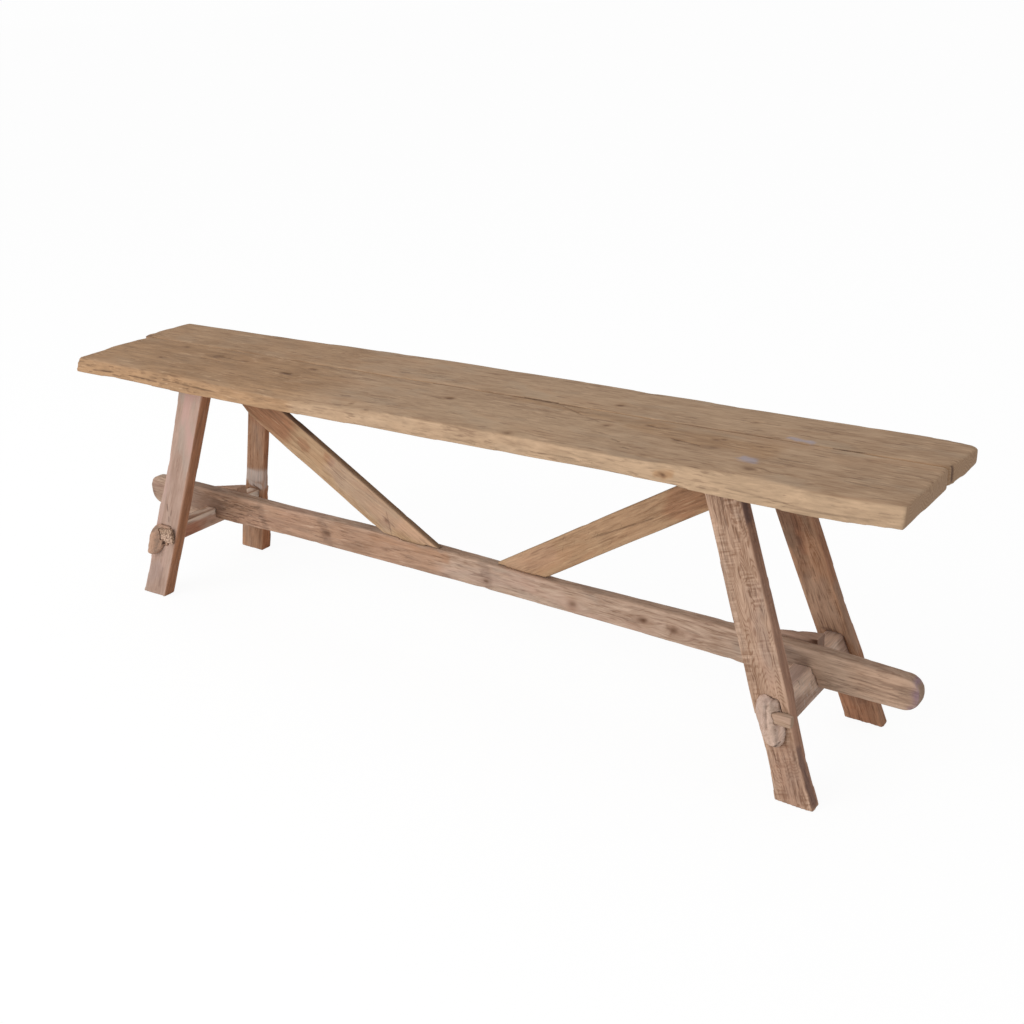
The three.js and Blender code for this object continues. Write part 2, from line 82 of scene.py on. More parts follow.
def linear(colour: Colour) -> Paint:
    """Turns a screen's colour into the renderer's linear values.

    Args:
        colour: Red, green and blue, 0 to 255.

    Returns:
        Linear red, green and blue, and an alpha of 1.
    """
    values = []
    for part in (value / 255.0 for value in colour):
        bent = ((part + CURVE_SHIFT) / (1.0 + CURVE_SHIFT)) ** CURVE_POWER
        values.append(part / FOOT_SLOPE if part <= CURVE_FOOT else bent)
    return (*values, 1.0)


def dimmed(colour: Colour) -> Paint:
    """Takes two thirds of a colour's linear values."""
    return (*(value * DIM_SHARE for value in linear(colour)[:3]), 1.0)


def eased(values: np.ndarray) -> np.ndarray:
    """Bends values of 0 to 1 so that they start and end gently."""
    held = np.clip(values, 0.0, 1.0)
    return held * held * (3.0 - 2.0 * held)


def placed(name: str, data: bpy.types.ID) -> bpy.types.Object:
    """Puts a mesh, lamp or camera into the scene.

    Args:
        name: The new object's name.
        data: What the object holds.

    Returns:
        The object.
    """
    thing = bpy.data.objects.new(name, data)
    bpy.context.scene.collection.objects.link(thing)
    return thing


class SolidNoise:
    """Smooth noise in space, the same on every run."""

    SIZE = 8192
    PRIMES = (73856093, 19349663, 83492791)

    def __init__(self, seed: int) -> None:
        """Draws the values of the lattice, which follow from the seed."""
        self.values = np.random.default_rng(seed).uniform(-1.0, 1.0, self.SIZE)

    def at(self, points: np.ndarray, waves: Point) -> np.ndarray:
        """Reads the noise at points.

        Args:
            points: One row of three places for each point.
            waves: Length of one wave along each axis.

        Returns:
            A value between -1 and 1 for each point.
        """
        scaled = points / np.array(waves)
        cell = np.floor(scaled).astype(np.int64)
        part = eased(scaled - cell)
        total = np.zeros(len(points))
        for corner in itertools.product((0, 1), repeat=3):
            keys = (cell + corner) * self.PRIMES
            index = (keys[:, 0] ^ keys[:, 1] ^ keys[:, 2]) % self.SIZE
            weight = np.prod(np.where(corner, part, 1.0 - part), axis=1)
            total += weight * self.values[index]
        return total


class Face(Enum):
    """A side of a piece: the axis that it looks along, the sign, and its own two axes."""

    OVER = (2, 1, 0, 1)
    UNDER = (2, -1, 0, 1)
    PLUS = (1, 1, 0, 2)
    MINUS = (1, -1, 0, 2)
    HEAD = (0, 1, 1, 2)
    FOOT = (0, -1, 1, 2)

    def share(self, normals: np.ndarray) -> np.ndarray:
        """Tells how far each point lies on this side, 0 to 1."""
        axis, sign = self.value[:2]
        return eased((normals[:, axis] * sign - SIDE_START) / SIDE_SPAN)

    def places(self, points: np.ndarray) -> np.ndarray:
        """Reads the points' two places on this side."""
        return points[:, self.value[2:]]


class Places(Enum):
    """The axes of the frame that a list of marks gives its places along.

    Two are enough for a piece that lies square to the third.
    """

    XY = (0, 1)
    XZ = (0, 2)
    YZ = (1, 2)
    XYZ = (0, 1, 2)


class Mark(Enum):
    """What a mark does to the timber."""

    KNOT = "knot"
    CRACK = "crack"
    DENT = "dent"
    # PATCH is a patch of another colour, and in one place painted light over a contact shadow
    PATCH = "patch"
    # FRESH is paler, fresher timber, and in places painted highlight and painted light over a cast
    # shadow
    FRESH = "fresh"
    ROUGH = "rough"
    # STAIN is a stain, and in places painted shade and painted shadow
    STAIN = "stain"
    # DARK is a dark mark, and in places painted shade and painted shadow
    DARK = "dark"


KNOT, CRACK, DENT, PATCH, FRESH, ROUGH, STAIN, DARK = Mark

# Where each kind is stored for the material: the layer's name, and the part of its vector
CHANNELS = {
    KNOT: ("harm", 0), CRACK: ("harm", 1), ROUGH: ("harm", 2), PATCH: ("tint", 1),
    FRESH: ("tint", 2), STAIN: ("tone", 1), DARK: ("tone", 2),
}


@dataclass(frozen=True)
class Blemish:
    """One mark on one side of a piece, from a start to an end, in millimetres of the frame."""

    kind: Mark
    start: Point
    end: Point
    width: float
    strength: float = 1.0
    depth: float = 0.0
    face: Face = Face.OVER

    # The edge's waves in millimetres, which grow with a mark over PLAIN_WIDTH
    EDGE_WAVES = np.array((9.0, 5.0, 5.0))
    PLAIN_WIDTH = 9.0
    # Shares of the width: how uneven the edge is, where a soft mark ends, and how far any reaches
    EDGE_SHARE = 0.45
    SOFT_EDGE = 1.5
    REACH = 3.0
    # How much longer a knot is along the grain, and how thin and steep a crack's tips are
    KNOT_STRETCH = 1.7
    TIP_SHARE = 0.25
    TIP_SLOPE = 4.0

    def line(self, turn: np.ndarray) -> tuple[np.ndarray, np.ndarray]:
        """Finds the mark's start and run on its side.

        Args:
            turn: Rows of the piece's own axes.

        Returns:
            The two places of the start, and the run from there, in metres.
        """
        own = list(self.face.value[2:])
        start = (turn @ np.array(self.start) * MM)[own]
        end = (turn @ np.array(self.end) * MM)[own]
        return start, end - start

    def spread(self, surface: "Surface", noise: SolidNoise, turn: np.ndarray) -> np.ndarray:
        """Measures how strongly each point is marked.

        Args:
            surface: The piece's surface.
            noise: Noise that makes the mark's edge uneven.
            turn: Rows of the piece's own axes.

        Returns:
            A share between 0 and 1 for each point.
        """
        width = self.width * MM
        start, run = self.line(turn)
        length = float(np.hypot(*run))
        offset = self.face.places(surface.points) - start
        taper = np.ones(len(offset))
        if length > 0.0:
            step = np.clip(offset @ run / length**2, 0.0, 1.0)
            offset = offset - step[:, None] * run
            taper = np.minimum(1.0, self.TIP_SLOPE * np.minimum(step, 1.0 - step) + self.TIP_SHARE)
        if self.kind is KNOT and self.face.value[2] == 0:
            offset[:, 0] /= self.KNOT_STRETCH
        distance = np.hypot(offset[:, 0], offset[:, 1])
        near = np.flatnonzero(distance < width * self.REACH)
        share = np.zeros(len(distance))
        if len(near) == 0:
            return share
        waves = tuple(self.EDGE_WAVES * MM * max(1.0, self.width / self.PLAIN_WIDTH))
        distance = distance[near] + noise.at(surface.points[near], waves) * width * self.EDGE_SHARE
        if self.kind is CRACK:
            spread = np.exp(-np.square(np.maximum(distance, 0.0) / (width * taper[near])))
        elif self.kind in (DENT, KNOT):
            spread = np.exp(-np.square(np.maximum(distance, 0.0) / width))
        else:
            spread = eased(self.SOFT_EDGE - distance / width)
        share[near] = spread * self.strength * self.face.share(surface.normals[near])
        return share


def marks_on(face: Face, given: Places, *rows: tuple) -> tuple[Blemish, ...]:
    """Lists marks on one side of a piece.

    Args:
        face: The side that they lie on.
        given: The axes that the rows give places along.
        rows: For each mark its kind, the places of its start, those of its end, its width, its
            strength and, if it is cut in, its depth.

    Returns:
        The marks, in the order of the rows.
    """
    marks = []
    count = len(given.value)
    for kind, *numbers in rows:
        points = np.zeros((2, 3))
        points[:, given.value] = np.reshape(numbers[:2 * count], (2, count))
        start, end = map(tuple, points)
        width, strength, *depth = numbers[2 * count:]
        marks.append(Blemish(kind, start, end, width, strength, *depth, face=face))
    return tuple(marks)


def scattered(
    kind: Mark, low: Point, high: Point, count: int, reach: float, width: float, strength: float,
    slope: float = 0.0, face: Face = Face.OVER, seed: int = 0, depth: float = 0.5,
) -> tuple[Blemish, ...]:
    """Scatters short marks along X over a box.

    Args:
        kind: What each mark is.
        low: Lowest corner of the box, in millimetres.
        high: Highest corner of the box, in millimetres.
        count: How many marks there are.
        reach: Length of the longest mark.
        width: Width of the widest mark.
        strength: How strong the strongest mark is.
        slope: How far each mark climbs for its length.
        face: The side that they lie on.
        seed: Number that their places follow from.
        depth: How deep each mark is.

    Returns:
        The marks.
    """
    draw = np.random.default_rng(seed)
    marks = []
    for _ in range(count):
        start = draw.uniform(low, high)
        length = reach * draw.uniform(*LENGTH_SPREAD)
        end = start + np.array((length, 0.0, length * slope * draw.uniform(*CLIMB_SPREAD)))
        size = width * draw.uniform(*WIDTH_SPREAD)
        force = strength * draw.uniform(*STRENGTH_SPREAD)
        marks.append(Blemish(kind, tuple(start), tuple(end), size, force, depth, face))
    return tuple(marks)


class Surface:
    """The points of one piece while it is worked, in the piece's own axes."""

    # How far a point stands out from its neighbours on a sharp arris
    SHARP = 0.35 * MM

    def __init__(self, mesh: bpy.types.Mesh) -> None:
        """Reads the mesh.

        Args:
            mesh: A closed mesh that lies in the piece's own axes.
        """
        self.mesh = mesh
        count = len(mesh.vertices)
        points = np.empty(count * 3, np.float32)
        mesh.vertices.foreach_get("co", points)
        self.points = points.reshape(-1, 3).astype(float)
        pairs = np.empty(len(mesh.edges) * 2, np.int32)
        mesh.edges.foreach_get("vertices", pairs)
        firsts, seconds = pairs.reshape(-1, 2).T
        self.ends = np.concatenate((firsts, seconds))
        self.others = np.concatenate((seconds, firsts))
        self.neighbours = np.maximum(np.bincount(self.ends, minlength=count), 1)
        self.refresh()

    def refresh(self) -> None:
        """Writes the points back and reads the normals again."""
        self.mesh.vertices.foreach_set("co", self.points.astype(np.float32).ravel())
        self.mesh.update()
        normals = np.empty(len(self.points) * 3, np.float32)
        self.mesh.vertex_normals.foreach_get("vector", normals)
        self.normals = normals.reshape(-1, 3).astype(float)

    def mean(self, values: np.ndarray) -> np.ndarray:
        """Takes the mean of each point's neighbours."""
        total = np.bincount(self.ends, weights=values[self.others], minlength=len(values))
        return total / self.neighbours

    def pull(self) -> np.ndarray:
        """Finds the way from each point to the middle of its neighbours."""
        middles = [self.mean(self.points[:, axis]) for axis in range(3)]
        return np.stack(middles, axis=1) - self.points

    def smooth(self, passes: int, share: np.ndarray) -> None:
        """Draws points towards their neighbours.

        Args:
            passes: How often.
            share: How far each point goes, 0 to 1.
        """
        for _ in range(passes):
            self.points += self.pull() * share[:, None]
        self.refresh()

    def push(self, depth: np.ndarray) -> None:
        """Moves each point into the timber by a depth."""
        self.points -= self.normals * depth[:, None]
        self.refresh()

    def arris(self, reach: int) -> np.ndarray:
        """Measures how near each point is to a sharp outer edge.

        Args:
            reach: How many points wide the edge counts.

        Returns:
            A share between 0 and 1 for each point.
        """
        bend = -np.sum(self.pull() * self.normals, axis=1)
        near = np.clip(bend / self.SHARP, 0.0, 1.0)
        for _ in range(reach):
            near = np.maximum(near, self.mean(near))
        return near


@dataclass(frozen=True)
class Wear:
    """How hand tools, feet and weather have worked a piece."""

    arris_reach: int = 3
    rounding: int = 4
    sway: float = 0.45 * MM
    ridge: float = 0.16 * MM
    chips: int = 6
    chip_size: float = 7 * MM
    chip_depth: float = 1.2 * MM
    tight: Face | None = None
    uneven_waves: Point = (60 * MM, 40 * MM, 40 * MM)
    sway_waves: Point = (70 * MM, 24 * MM, 24 * MM)
    ridge_waves: Point = (45 * MM, 4 * MM, 4 * MM)
    chip_size_spread: tuple[float, float] = (0.5, 1.3)
    chip_length_spread: tuple[float, float] = (1.0, 2.6)
    chip_depth_spread: tuple[float, float] = (0.4, 1.0)


@dataclass(frozen=True)
class Pattern:
    """A layer of noise in the timber.

    The waves are metres along, across and through it. The detail is how many finer layers there
    are, the crispness how strong they are, and the warp how far the noise distorts itself. A layer
    that marks out patches shows them between two of its values.
    """

    waves: Point
    detail: float
    warp: float = 0.0
    crisp: float = 0.55
    shown: tuple[float, float] = (0.0, 1.0)


BLOTCHES = Pattern((0.15, 0.06, 0.06), 3.0, 0.4)
STREAKS = Pattern((0.1, 0.0085, 0.0085), 5.0, 0.5, 0.68)
FIBRES = Pattern((0.028, 0.0024, 0.0024), 3.0)
PORES = Pattern((0.036, 0.0027, 0.0027), 2.0)
PORE_CLUSTERS = Pattern((0.06, 0.026, 0.026), 2.0, shown=(0.4, 0.58))
GREY_PATCHES = Pattern((0.1, 0.045, 0.045), 3.0, 0.3, shown=(0.48, 0.66))
RED_PATCHES = Pattern((0.17, 0.05, 0.06), 3.0, 0.5, shown=(0.5, 0.68))
SAW_STROKES = Pattern((0.0034, 0.03, 0.03), 1.0)
SAWN_PATCHES = Pattern((0.08, 0.024, 0.024), 2.0, shown=(0.46, 0.6))
RING_SHAKE = Pattern((0.13, 0.035, 0.035), 2.0)
WORM_FIELD = Pattern((0.009, 0.007, 0.007), 1.0)


@dataclass(frozen=True)
class TimberFinish:
    """The colours and the grain of one kind of timber in the bench."""

    name: str
    middle: Colour
    dark_shares: Colour = (0.6, 0.52, 0.46)
    pale_shares: Colour = (1.3, 1.36, 1.42)
    pale_dash_shares: Colour = (1.55, 1.6, 1.65)
    worn_shares: Colour = (1.5, 1.52, 1.55)
    end_shares: Colour = (1.0, 0.98, 0.97)
    weathered: Colour = (150, 136, 124)
    blush: Colour = (176, 130, 108)
    knot: Colour = (92, 62, 45)
    crack: Colour = (64, 44, 33)
    # The fresh colour also paints highlights and light over cast shadows
    fresh: Colour = (200, 170, 148)
    # The patch colour also paints light over a contact shadow
    patch: Colour = (172, 162, 170)
    # The stain colour also paints shade and shadow in places
    stain: Colour = (160, 112, 82)
    # The colour of dark marks, which also paints shade and shadows
    dark_and_shade: Colour = (86, 64, 54)
    end_share: float = 0.72
    blotches: float = 0.9
    streaks: float = 1.5
    fibres: float = 0.9
    figure: float = 0.22
    pitch: float = 2.6 * MM
    coarse: float = 1.0
    dashes: float = 0.6
    pale_dashes: float = 0.35
    saw_marks: float = 0.0
    worm: float = 0.0
    weathering: float = 0.35
    blushing: float = 0.35
    arris: float = 0.5
    roughness: float = 0.82
    gloss: float = 0.25
    bump: float = 0.6
    bump_height: float = 1.1 * MM
    seed: float = 0.0

    def shade(self, shares: Colour) -> Paint:
        """Takes shares of the middle colour's linear red, green and blue."""
        return (*(value * share for value, share in zip(linear(self.middle), shares)), 1.0)

    def material(self) -> bpy.types.Material:
        """Builds the material, with its colour, roughness and bump made by nodes."""
        return TimberShader(self).build()


class NodeTree:
    """Adds and links the nodes of one material or sky."""

    def __init__(self, owner: bpy.types.Material | bpy.types.World) -> None:
        """Empties the owner's tree.

        Args:
            owner: The material or sky.
        """
        owner.use_nodes = True
        self.tree = owner.node_tree
        self.tree.nodes.clear()

    def node(
        self, kind: str, sources: dict[int | str, object], **settings: object,
    ) -> bpy.types.Node:
        """Adds a node.

        Args:
            kind: Blender's name of the node.
            sources: What feeds each socket: another node's socket, a number or a row of numbers.
            settings: The node's properties.

        Returns:
            The node.
        """
        node = self.tree.nodes.new(kind)
        for name, value in settings.items():
            setattr(node, name, value)
        for key, source in sources.items():
            if isinstance(source, bpy.types.NodeSocket):
                self.tree.links.new(source, node.inputs[key])
            else:
                node.inputs[key].default_value = source
        return node

    def maths(
        self, operation: str, first: object, second: object = 0.0, clamp: bool = False,
    ) -> object:
        """Adds a sum of one or two values, held between 0 and 1 if it is clamped."""
        sources = {0: first, 1: second}
        return self.node("ShaderNodeMath", sources, operation=operation, use_clamp=clamp).outputs[0]

    def times(self, first: object, second: object) -> object:
        """Multiplies two values."""
        return self.maths("MULTIPLY", first, second)

    def plus(self, first: object, second: object) -> object:
        """Adds two values."""
        return self.maths("ADD", first, second)

    def minus(self, first: object, second: object) -> object:
        """Takes the second value from the first."""
        return self.maths("SUBTRACT", first, second)

    def swing(self, value: object, amount: float) -> object:
        """Turns noise about 0.5 into a swing about 0."""
        return self.times(self.minus(value, 0.5), amount)

    def vector(self, operation: str, *sources: object) -> bpy.types.Node:
        """Adds a sum of vectors."""
        return self.node("ShaderNodeVectorMath", dict(enumerate(sources)), operation=operation)

    def band(
        self, value: object, low: float, high: float, start: float = 0.0, end: float = 1.0,
    ) -> object:
        """Maps a value smoothly from low and high to start and end."""
        sources = dict(enumerate((value, low, high, start, end)))
        return self.node("ShaderNodeMapRange", sources, interpolation_type="SMOOTHSTEP").outputs[0]

    def mixed(self, share: object, first: object, second: object) -> object:
        """Mixes two colours, with a share of 0 for the first and 1 for the second."""
        # Blender keeps the sockets of the two colours behind those of numbers and vectors
        sources = {0: share, 6: first, 7: second}
        return self.node("ShaderNodeMix", sources, data_type="RGBA", clamp_factor=True).outputs[2]

    def textured(self, share: object, colour: Colour) -> object:
        """Runs a colour from dim to full by a share."""
        return self.mixed(share, dimmed(colour), linear(colour))

    def read(self, name: str) -> object:
        """Reads a vector that is stored on the mesh."""
        return self.node("ShaderNodeAttribute", {}, attribute_name=name).outputs["Vector"]

    def parts(self, vector: object) -> list[object]:
        """Splits a vector into its three values."""
        return list(self.node("ShaderNodeSeparateXYZ", {0: vector}).outputs)


class TimberShader(NodeTree):
    """Builds one timber material node by node."""

    # Where the log's heart lies behind the piece, for a fine grain
    HEART = (0.0, 0.011, 0.034)
    RING_SWING = 0.045
    # How far a finish's seed moves the noise along, across and through
    SEED_STEPS = (1.0, 1.7, 2.3)
    # Values between which a layer passes from nothing to its full strength
    RING_LINES = (0.45, 0.98)
    FIGURE_STREAKS = (0.62, 0.4)
    STAIN_AND_SHADE_STREAKS = (0.36, 0.62)
    WORN_STREAKS = (0.35, 0.65)
    DARK_PORES = (0.42, 0.34)
    PALE_PORES = (0.6, 0.68)
    WORM_LINES = (0.05, 0.02)
    END_GRAIN = (0.6, 0.9)
    # Places of the dark and the pale colour on the ramp of the grain's tone
    RAMP_ENDS = (0.12, 0.88)
    # How strongly streaks and fibres show through a mark, about its own mean
    MARK_MEAN = 0.6
    MARK_STREAKS = 1.6
    MARK_FIBRES = 1.8
    # Shares: rough timber's extra dashes, the rings on end grain, an arris's least rubbing, and the
    # swing of the roughness
    ROUGH_DASHES = 0.05
    END_RINGS = 0.5
    LEAST_RUBBING = 0.3
    ROUGHNESS_SWING = 0.25
    # How deep each layer lies in the bump
    FIBRE_HEIGHT = 0.5
    STREAK_HEIGHT = 0.8
    DASH_DEPTH = 0.9
    CRACK_DEPTH = 1.2

    def __init__(self, finish: TimberFinish) -> None:
        """Starts a material with the layers that more than one part of it needs.

        Args:
            finish: The timber's colours and grain.
        """
        self.finish = finish
        self.material = bpy.data.materials.new(finish.name)
        super().__init__(self.material)
        self.grain = self.read("grain")
        self.blotches = self.noise(BLOTCHES)
        self.streaks = self.noise(STREAKS, finish.coarse)
        self.fibres = self.noise(FIBRES, finish.coarse)
        self.rings = self.year_rings()

    def noise(self, pattern: Pattern, coarse: float = 1.0) -> object:
        """Adds noise that is drawn out along the grain.

        Args:
            pattern: The noise.
            coarse: How much wider it is across and through the timber.

        Returns:
            The noise's socket, about 0.5 on average.
        """
        along, across, through = pattern.waves
        waves = (along, across * coarse, through * coarse)
        scaled = self.vector("MULTIPLY", self.grain, tuple(1.0 / wave for wave in waves))
        place = tuple(self.finish.seed * step for step in self.SEED_STEPS)
        moved = self.vector("ADD", scaled.outputs[0], place)
        sources = {
            "Vector": moved.outputs[0], "Scale": 1.0, "Detail": pattern.detail,
            "Roughness": pattern.crisp, "Distortion": pattern.warp,
        }
        return self.node("ShaderNodeTexNoise", sources, noise_dimensions="3D").outputs[0]

    def patches(self, pattern: Pattern) -> object:
        """Marks out the patches of a pattern, as a share of 0 to 1."""
        return self.band(self.noise(pattern), *pattern.shown)

    def year_rings(self) -> object:
        """Draws the year rings round the log's heart.

        Returns:
            A socket of 0 to 1, with one wave for each year.
        """
        heart = tuple(place * self.finish.coarse for place in self.HEART)
        shifted = self.vector("MULTIPLY_ADD", self.grain, (0.0, 1.0, 1.0), heart)
        radius = self.vector("LENGTH", shifted.outputs[0]).outputs["Value"]
        shaken = self.plus(radius, self.swing(self.noise(RING_SHAKE), self.RING_SWING))
        wave = self.maths("SINE", self.times(shaken, 2.0 * math.pi / self.finish.pitch))
        return self.times(self.plus(wave, 1.0), 0.5)

    def squiggles(self) -> object:
        """Draws thin wandering lines, as worms leave them, as a share of 0 to 1."""
        level = self.maths("ABSOLUTE", self.minus(self.noise(WORM_FIELD), 0.5))
        return self.times(self.band(level, *self.WORM_LINES), self.finish.worm)

    def bare_timber(self) -> tuple[object, object]:
        """Draws the grain, before any mark.

        Returns:
            Its tone, about 0.5 on average, and its height.
        """
        finish = self.finish
        line = self.band(self.rings, *self.RING_LINES)
        tone = self.plus(0.5, self.swing(self.blotches, finish.blotches))
        tone = self.plus(tone, self.swing(self.streaks, finish.streaks))
        tone = self.plus(tone, self.swing(self.fibres, finish.fibres))
        figure = self.times(self.band(self.streaks, *self.FIGURE_STREAKS), finish.figure)
        tone = self.minus(tone, self.times(line, figure))
        fine = self.times(self.fibres, self.FIBRE_HEIGHT)
        height = self.plus(fine, self.times(self.streaks, self.STREAK_HEIGHT))
        height = self.minus(height, self.times(line, finish.figure))
        if finish.saw_marks > 0.0:
            strokes = self.swing(self.noise(SAW_STROKES), finish.saw_marks)
            saw = self.times(strokes, self.patches(SAWN_PATCHES))
            tone = self.plus(tone, saw)
            height = self.plus(height, saw)
        return tone, height

    def base_colour(self, tone: object) -> object:
        """Turns the grain's tone into timber colours, greyer and redder in places.

        Args:
            tone: The tone's socket.

        Returns:
            The colour's socket.
        """
        finish = self.finish
        node = self.node("ShaderNodeValToRGB", {0: self.maths("ADD", tone, clamp=True)})
        shades = (finish.shade(finish.dark_shares), finish.shade(finish.pale_shares))
        for element, place, shade in zip(node.color_ramp.elements, self.RAMP_ENDS, shades):
            element.position = place
            element.color = shade
        node.color_ramp.elements.new(0.5).color = linear(finish.middle)
        grey = self.times(self.patches(GREY_PATCHES), finish.weathering)
        red = self.times(self.patches(RED_PATCHES), finish.blushing)
        colour = self.mixed(grey, node.outputs[0], linear(finish.weathered))
        return self.mixed(red, colour, linear(finish.blush))

    def dashes(self, rough: object) -> tuple[object, object]:
        """Draws short dashes along the grain, in clusters and wherever the timber is rough.

        Args:
            rough: Socket of how rough the timber is.

        Returns:
            Sockets of the dark and of the pale dashes' shares.
        """
        pores = self.noise(PORES, self.finish.coarse)
        cluster = self.maths("MAXIMUM", self.patches(PORE_CLUSTERS), rough)
        torn = self.minus(pores, self.times(rough, self.ROUGH_DASHES))
        dark = self.times(self.band(torn, *self.DARK_PORES), self.finish.dashes)
        pale = self.times(self.band(pores, *self.PALE_PORES), self.finish.pale_dashes)
        return self.times(dark, cluster), self.times(pale, cluster)

    def build(self) -> bpy.types.Material:
        """Builds the whole tree.

        Returns:
            The finished material.
        """
        finish = self.finish
        knot, crack, rough = self.parts(self.read("harm"))
        worn, patch, fresh = self.parts(self.read("tint"))
        end_raw, stain, dark = self.parts(self.read("tone"))
        tone, height = self.bare_timber()
        dark_dash, pale_dash = self.dashes(rough)

        fine = self.plus(self.MARK_MEAN, self.swing(self.fibres, self.MARK_FIBRES))
        fine = self.maths("ADD", self.swing(self.streaks, self.MARK_STREAKS), fine, clamp=True)
        stain_and_shade_streaks = self.band(self.streaks, *self.STAIN_AND_SHADE_STREAKS)
        # The fresh, stain and patch shares also paint highlights, light over shadows and shade
        # where marks put them
        colour = self.mixed(fresh, self.base_colour(tone), self.textured(fine, finish.fresh))
        colour = self.mixed(stain, colour, self.textured(stain_and_shade_streaks, finish.stain))
        colour = self.mixed(patch, colour, self.textured(fine, finish.patch))
        colour = self.mixed(pale_dash, colour, finish.shade(finish.pale_dash_shares))
        colour = self.mixed(dark_dash, colour, linear(finish.knot))

        end_shares = tuple(share * finish.end_share for share in finish.end_shares)
        end_shades = finish.shade(end_shares), finish.shade(finish.dark_shares)
        end = self.times(self.band(end_raw, *self.END_GRAIN), self.minus(1.0, fresh))
        ringed = self.mixed(self.times(self.rings, self.END_RINGS), *end_shades)
        colour = self.mixed(end, colour, ringed)
        rubbing = (self.LEAST_RUBBING * finish.arris, finish.arris)
        rubbed = self.band(self.streaks, *self.WORN_STREAKS, *rubbing)
        colour = self.mixed(self.times(worn, rubbed), colour, finish.shade(finish.worn_shares))
        # The dark share paints dark marks and also painted shade and shadows
        for share, paint in ((dark, finish.dark_and_shade), (knot, finish.knot), (crack, finish.crack)):
            colour = self.mixed(share, colour, linear(paint))
        height = self.minus(height, self.times(dark_dash, self.DASH_DEPTH))
        height = self.minus(height, self.times(crack, self.CRACK_DEPTH))
        if finish.worm > 0.0:
            worm = self.squiggles()
            colour = self.mixed(worm, colour, linear(finish.knot))
            height = self.minus(height, worm)

        relief = {"Strength": finish.bump, "Distance": finish.bump_height, "Height": height}
        swing = self.swing(self.blotches, self.ROUGHNESS_SWING)
        roughness = self.maths("ADD", finish.roughness, swing, clamp=True)
        shader = self.node("ShaderNodeBsdfPrincipled", {
            "Base Color": colour,
            "Roughness": roughness,
            "Specular IOR Level": finish.gloss,
            "Normal": self.node("ShaderNodeBump", relief).outputs[0],
        })
        self.node("ShaderNodeOutputMaterial", {"Surface": shader.outputs[0]})
        return self.material


@dataclass(frozen=True)
class TimberAxes:
    """A piece's own axes, as directions in the frame."""

    along: Vector
    through: Vector

    def matrix(self) -> Matrix:
        """Works out the turn from the frame to these axes.

        Returns:
            A matrix whose rows are the along, across and through directions.
        """
        along = self.along.normalized()
        across = self.through.cross(along).normalized()
        through = along.cross(across)
        return Matrix((along, across, through)).to_4x4()

    def rows(self) -> np.ndarray:
        """Gives the three directions as the rows of an array."""
        return np.array(self.matrix().to_3x3())


ALONG_X = TimberAxes(Vector((1.0, 0.0, 0.0)), Vector((0.0, 0.0, 1.0)))


